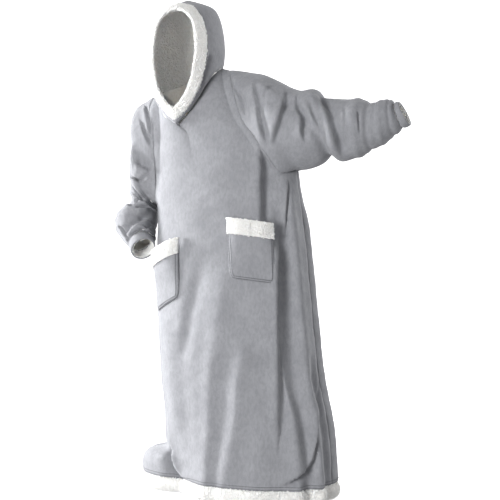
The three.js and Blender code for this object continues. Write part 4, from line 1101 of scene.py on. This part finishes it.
def trimGrid(steps, sides, sink):
    share = np.arange(steps) / steps
    inner, outer = openingPoint(openingEdge, share), openingPoint(trimOuterEdge, share)
    middle, half = (inner + outer) / 2, (outer - inner) / 2
    heading = np.roll(middle, -1, axis=0) - np.roll(middle, 1, axis=0)
    outward = unit(np.cross(heading, half))
    angle = 2 * np.pi * np.arange(sides) / sides
    wide = np.sign(np.cos(angle)) * np.abs(np.cos(angle)) ** trim["wideFullness"]
    thick = np.sign(np.sin(angle)) * np.abs(np.sin(angle)) ** trim["thickFullness"]
    length = np.linalg.norm(half, axis=1)[:, None, None]
    span = unit(half)[:, None] * (length - sink) * wide[None, :, None]
    face = np.where(thick > 0, trim["face"], 1 - trim["face"])
    tall = trim["pile"] * face - sink
    return middle[:, None] + span + outward[:, None] * (thick * tall)[None, :, None]


grid = trimGrid(trim["steps"], trim["sides"], trim["sink"])
rows, columns = grid.shape[:2]
index = np.arange(rows * columns).reshape(rows, columns)
across, along = np.roll(index, -1, axis=1), np.roll(index, -1, axis=0)
both = np.roll(across, -1, axis=0)
faces = np.stack([index, across, both, along], -1).reshape(-1, 4)
piece = finishMesh("hood_trim_cloth", grid.reshape(-1, 3), faces.tolist(), materials=(sherpaPile,))
ring = np.concatenate([grid, grid[:1]])
curls = addCurls("hood_trim_pile", ring, True, False, trim["pileSpacing"], trim["pileSeed"])
declare(piece, "hood_trim", grid, True, trim["flat"], None)
print("trim made")

hemBand = {"steps": 300, "rows": 12, "proud": 8, "sink": 4, "wall": 8, "lift": 3,
           "bulgeFrom": 0.12, "pileSpacing": 1.0, "pileSeed": 31, "flat": (1.86, 0.055)}
angle = -90 + 360 * np.arange(hemBand["steps"]) / hemBand["steps"]
level = body["hem"] + body["hemBand"]
edge = skirtPoint(angle, level)
beside = skirtPoint(angle + 0.5, level)
along = unit((beside - edge) * [1, 1, 0])
outward = np.stack([along[:, 1], -along[:, 0], 0 * angle], -1)
height = np.linspace(0, 1, hemBand["rows"])
swell = hemBand["bulgeFrom"] + (1 - hemBand["bulgeFrom"]) * height
bulge = hemBand["proud"] * np.sin(np.pi * np.clip(swell, 0, 1)) - hemBand["sink"]
grid = edge[None] + outward[None] * bulge[:, None, None]
grid[..., 2] = (body["hem"] + hemBand["lift"]
                + (body["hemBand"] - hemBand["lift"]) * height[:, None])
normals = np.broadcast_to(outward, grid.shape)
piece = wallPiece("hem_band_cloth", grid, normals, hemBand["wall"], True, False,
                  (sherpaPile, sherpaPile))
curls = addCurls("hem_band_pile", grid, True, False, hemBand["pileSpacing"],
                 hemBand["pileSeed"])
declare(piece, "hem_band", grid, True, hemBand["flat"], None)
print("hem band made")

pocketCloth = {"rows": 44, "columns": 40, "bandRows": 16, "wall": 4.5, "bandWall": 6,
               "bandProud": 13, "bandSink": 4.2, "seamDip": 4.2, "seamWidth": 8, "inset": 3,
               "pileSpacing": 0.95, "pileSeed": 41,
               "flat": (0.145, 0.155), "bandFlat": (0.145, 0.056)}
stitchLines = []
for side in ("left", "right"):
    pocket = pockets[side]
    mouth = 1 - pockets["bandShare"]
    grid, outward = pocketGrid(pocket, 0, mouth, body["wall"], pocketCloth["rows"],
                               pocketCloth["columns"])
    grid = seamRoll(grid, outward, False, ("bottom", "start", "end"), pocketCloth["seamDip"],
                    pocketCloth["seamWidth"])
    piece = wallPiece(f"pocket_{side}_cloth", grid, gridNormals(grid, False, False),
                      pocketCloth["wall"], False, False, (flannelFleece, sherpaPile))
    declare(piece, "pocket_" + side, grid, False, pocketCloth["flat"], None)
    u, v = lengthsAlong(grid, 1), lengthsAlong(grid, 0)
    for inset in (pocketCloth["inset"], pocketCloth["inset"] + stitchShape["row"]):
        path = []
        for j in range(len(grid) - 1, -1, -1):
            if v[j].mean() > inset:
                path.append([np.interp(inset, u[j], grid[j, :, k]) for k in range(3)])
        low = np.argmin(np.abs(v.mean(axis=1) - inset))
        path.extend(grid[low, (u[low] > inset) & (u[low] < u[low, -1] - inset)].tolist())
        for j in range(len(grid)):
            if v[j].mean() > inset:
                path.append([np.interp(u[j, -1] - inset, u[j], grid[j, :, k]) for k in range(3)])
        stitchLines.append(np.array(path) + [0, -stitchShape["lift"], 0])
    proud = pocketCloth["bandProud"] - pocketCloth["bandSink"]
    band, outward = pocketGrid(pocket, mouth, 1, proud, pocketCloth["bandRows"],
                               pocketCloth["columns"])
    piece = wallPiece(f"pocket_band_{side}_cloth", band, outward, pocketCloth["bandWall"],
                      False, False, (sherpaPile, sherpaPile))
    curls = addCurls(f"pocket_band_{side}_pile", band, False, False, pocketCloth["pileSpacing"],
                     pocketCloth["pileSeed"])
    declare(piece, "pocket_band_" + side, band, False, pocketCloth["bandFlat"], None)
print("pockets made")
addStitches("pocket_stitches", stitchLines)

hemLines = []
for node in ("front_panel", "back_panel"):
    grid = grids[node]
    v = lengthsAlong(grid, 0)
    normals = gridNormals(grid, False, False)
    lifted = grid + normals * stitchShape["hemLift"]
    for rise in (stitchShape["hemInset"], stitchShape["hemInset"] + stitchShape["row"]):
        line = [[np.interp(rise, v[:, i], lifted[:, i, k]) for k in range(3)]
                for i in range(grid.shape[1])]
        hemLines.append(line)
addStitches("hem_stitches", hemLines)
bpy.data.objects.remove(oneCurl)
bpy.data.objects.remove(oneStitch)
print("stitches made")

# Floor, light and camera, in metres, watts and degrees

studio = {
    "floor": "#f4f4f5", "fleck": "#e9e9eb", "dome": 11, "glow": 1.0, "glowNear": 0.5,
    "wallGlow": 1.0, "centre": (0.3, 0.0, -1.431), "nearReach": 0.5, "farReach": 1.3,
    "air": "#fafafb", "airLight": 0.52,
}
# place, aimed at, width, power
softboxes = {
    "keySoftbox": ((-4.15, -0.55, -0.1), (0.15, 0, -0.7), 1.2, 445),
    "fillSoftbox": ((-0.9, -4.3, -0.3), (0.2, 0, -0.7), 2.0, 178),
    "backSoftbox": ((2.4, 3.3, 1.0), (0.2, 0, -0.6), 3.0, 140),
}
view = {"place": (1.631, -3.439, -0.430), "tip": 87.6, "swing": 22, "sensor": 36, "lens": 76.9,
        "farthest": 60}


def makeFloor(name, corners, faces, glow, glowNear):
    material, tree, place = newMaterial(name + "Paint")
    fleck = addNode(tree, "ShaderNodeTexNoise", {"Vector": place, "Scale": 40.0})
    flecks = addNode(tree, "ShaderNodeMapRange", {
        "Value": fleck.outputs[0], "From Min": 0.3, "From Max": 0.7, "To Min": 0.0,
        "To Max": 0.1})
    colour = addNode(tree, "ShaderNodeMix", {
        0: flecks.outputs[0], 6: linear(studio["floor"]), 7: linear(studio["fleck"])},
        data_type="RGBA")
    away = addNode(tree, "ShaderNodeVectorMath", {0: place, 1: studio["centre"]},
                   operation="DISTANCE")
    # painted light: the paper glows, more weakly on the floor near the cloth so that the cloth's
    # shadow shows there
    glows = addNode(tree, "ShaderNodeMapRange", {
        "Value": away.outputs["Value"], "From Min": studio["nearReach"],
        "From Max": studio["farReach"], "To Min": glowNear, "To Max": glow})
    shader = addNode(tree, "ShaderNodeBsdfPrincipled", {
        "Base Color": colour.outputs[2], "Roughness": 0.9,
        "Emission Color": linear("#ffffff"), "Emission Strength": glows.outputs[0]})
    addNode(tree, "ShaderNodeOutputMaterial", {"Surface": shader.outputs[0]})
    backdrop = finishMesh(name, corners, faces, materials=(material,))
    # lit paper with a painted glow that shows pale and throws no light of its own on the cloth
    backdrop.visible_diffuse = False
    backdrop.visible_glossy = False
    backdrop.visible_shadow = False


half, level = studio["dome"] * 1000, body["hem"] - 1
square = [(-half, -half), (half, -half), (half, half), (-half, half)]
makeFloor("studio_floor", [(x, y, level) for x, y in square], [(0, 1, 2, 3)], studio["glow"],
          studio["glowNear"])
corners = [(x, y, z) for z in (level, 2 * half) for x, y in square]
walls = [(0, 4, 5, 1), (1, 5, 6, 2), (2, 6, 7, 3), (3, 7, 4, 0), (4, 7, 6, 5)]
makeFloor("studio_walls", corners, walls, studio["wallGlow"], studio["wallGlow"])
world = bpy.data.worlds.new("paleStudio")
world.use_nodes = True
world.node_tree.nodes["Background"].inputs[0].default_value = linear(studio["air"])
world.node_tree.nodes["Background"].inputs[1].default_value = studio["airLight"]
bpy.context.scene.world = world
bpy.context.scene.view_settings.view_transform = "Standard"


def addLight(name, place, target, size, power):
    light = bpy.data.lights.new(name, "AREA")
    light.shape = "DISK"
    light.size = size
    light.energy = power
    lamp = bpy.data.objects.new(name, light)
    bpy.context.scene.collection.objects.link(lamp)
    way = np.array(target) - np.array(place)
    lamp.location = place
    lamp.rotation_euler = (math.atan2(math.hypot(way[0], way[1]), -way[2]), 0,
                           math.atan2(way[1], way[0]) - math.pi / 2)


for name, (place, target, size, power) in softboxes.items():
    addLight(name, place, target, size, power)

camera = bpy.data.cameras.new("photoCamera")
camera.sensor_width = view["sensor"]
camera.lens = view["lens"]
camera.clip_end = view["farthest"]
eye = bpy.data.objects.new("photoCamera", camera)
eye.location = view["place"]
eye.rotation_euler = (math.radians(view["tip"]), 0, math.radians(view["swing"]))
bpy.context.scene.collection.objects.link(eye)
bpy.context.scene.camera = eye
print("studio made")
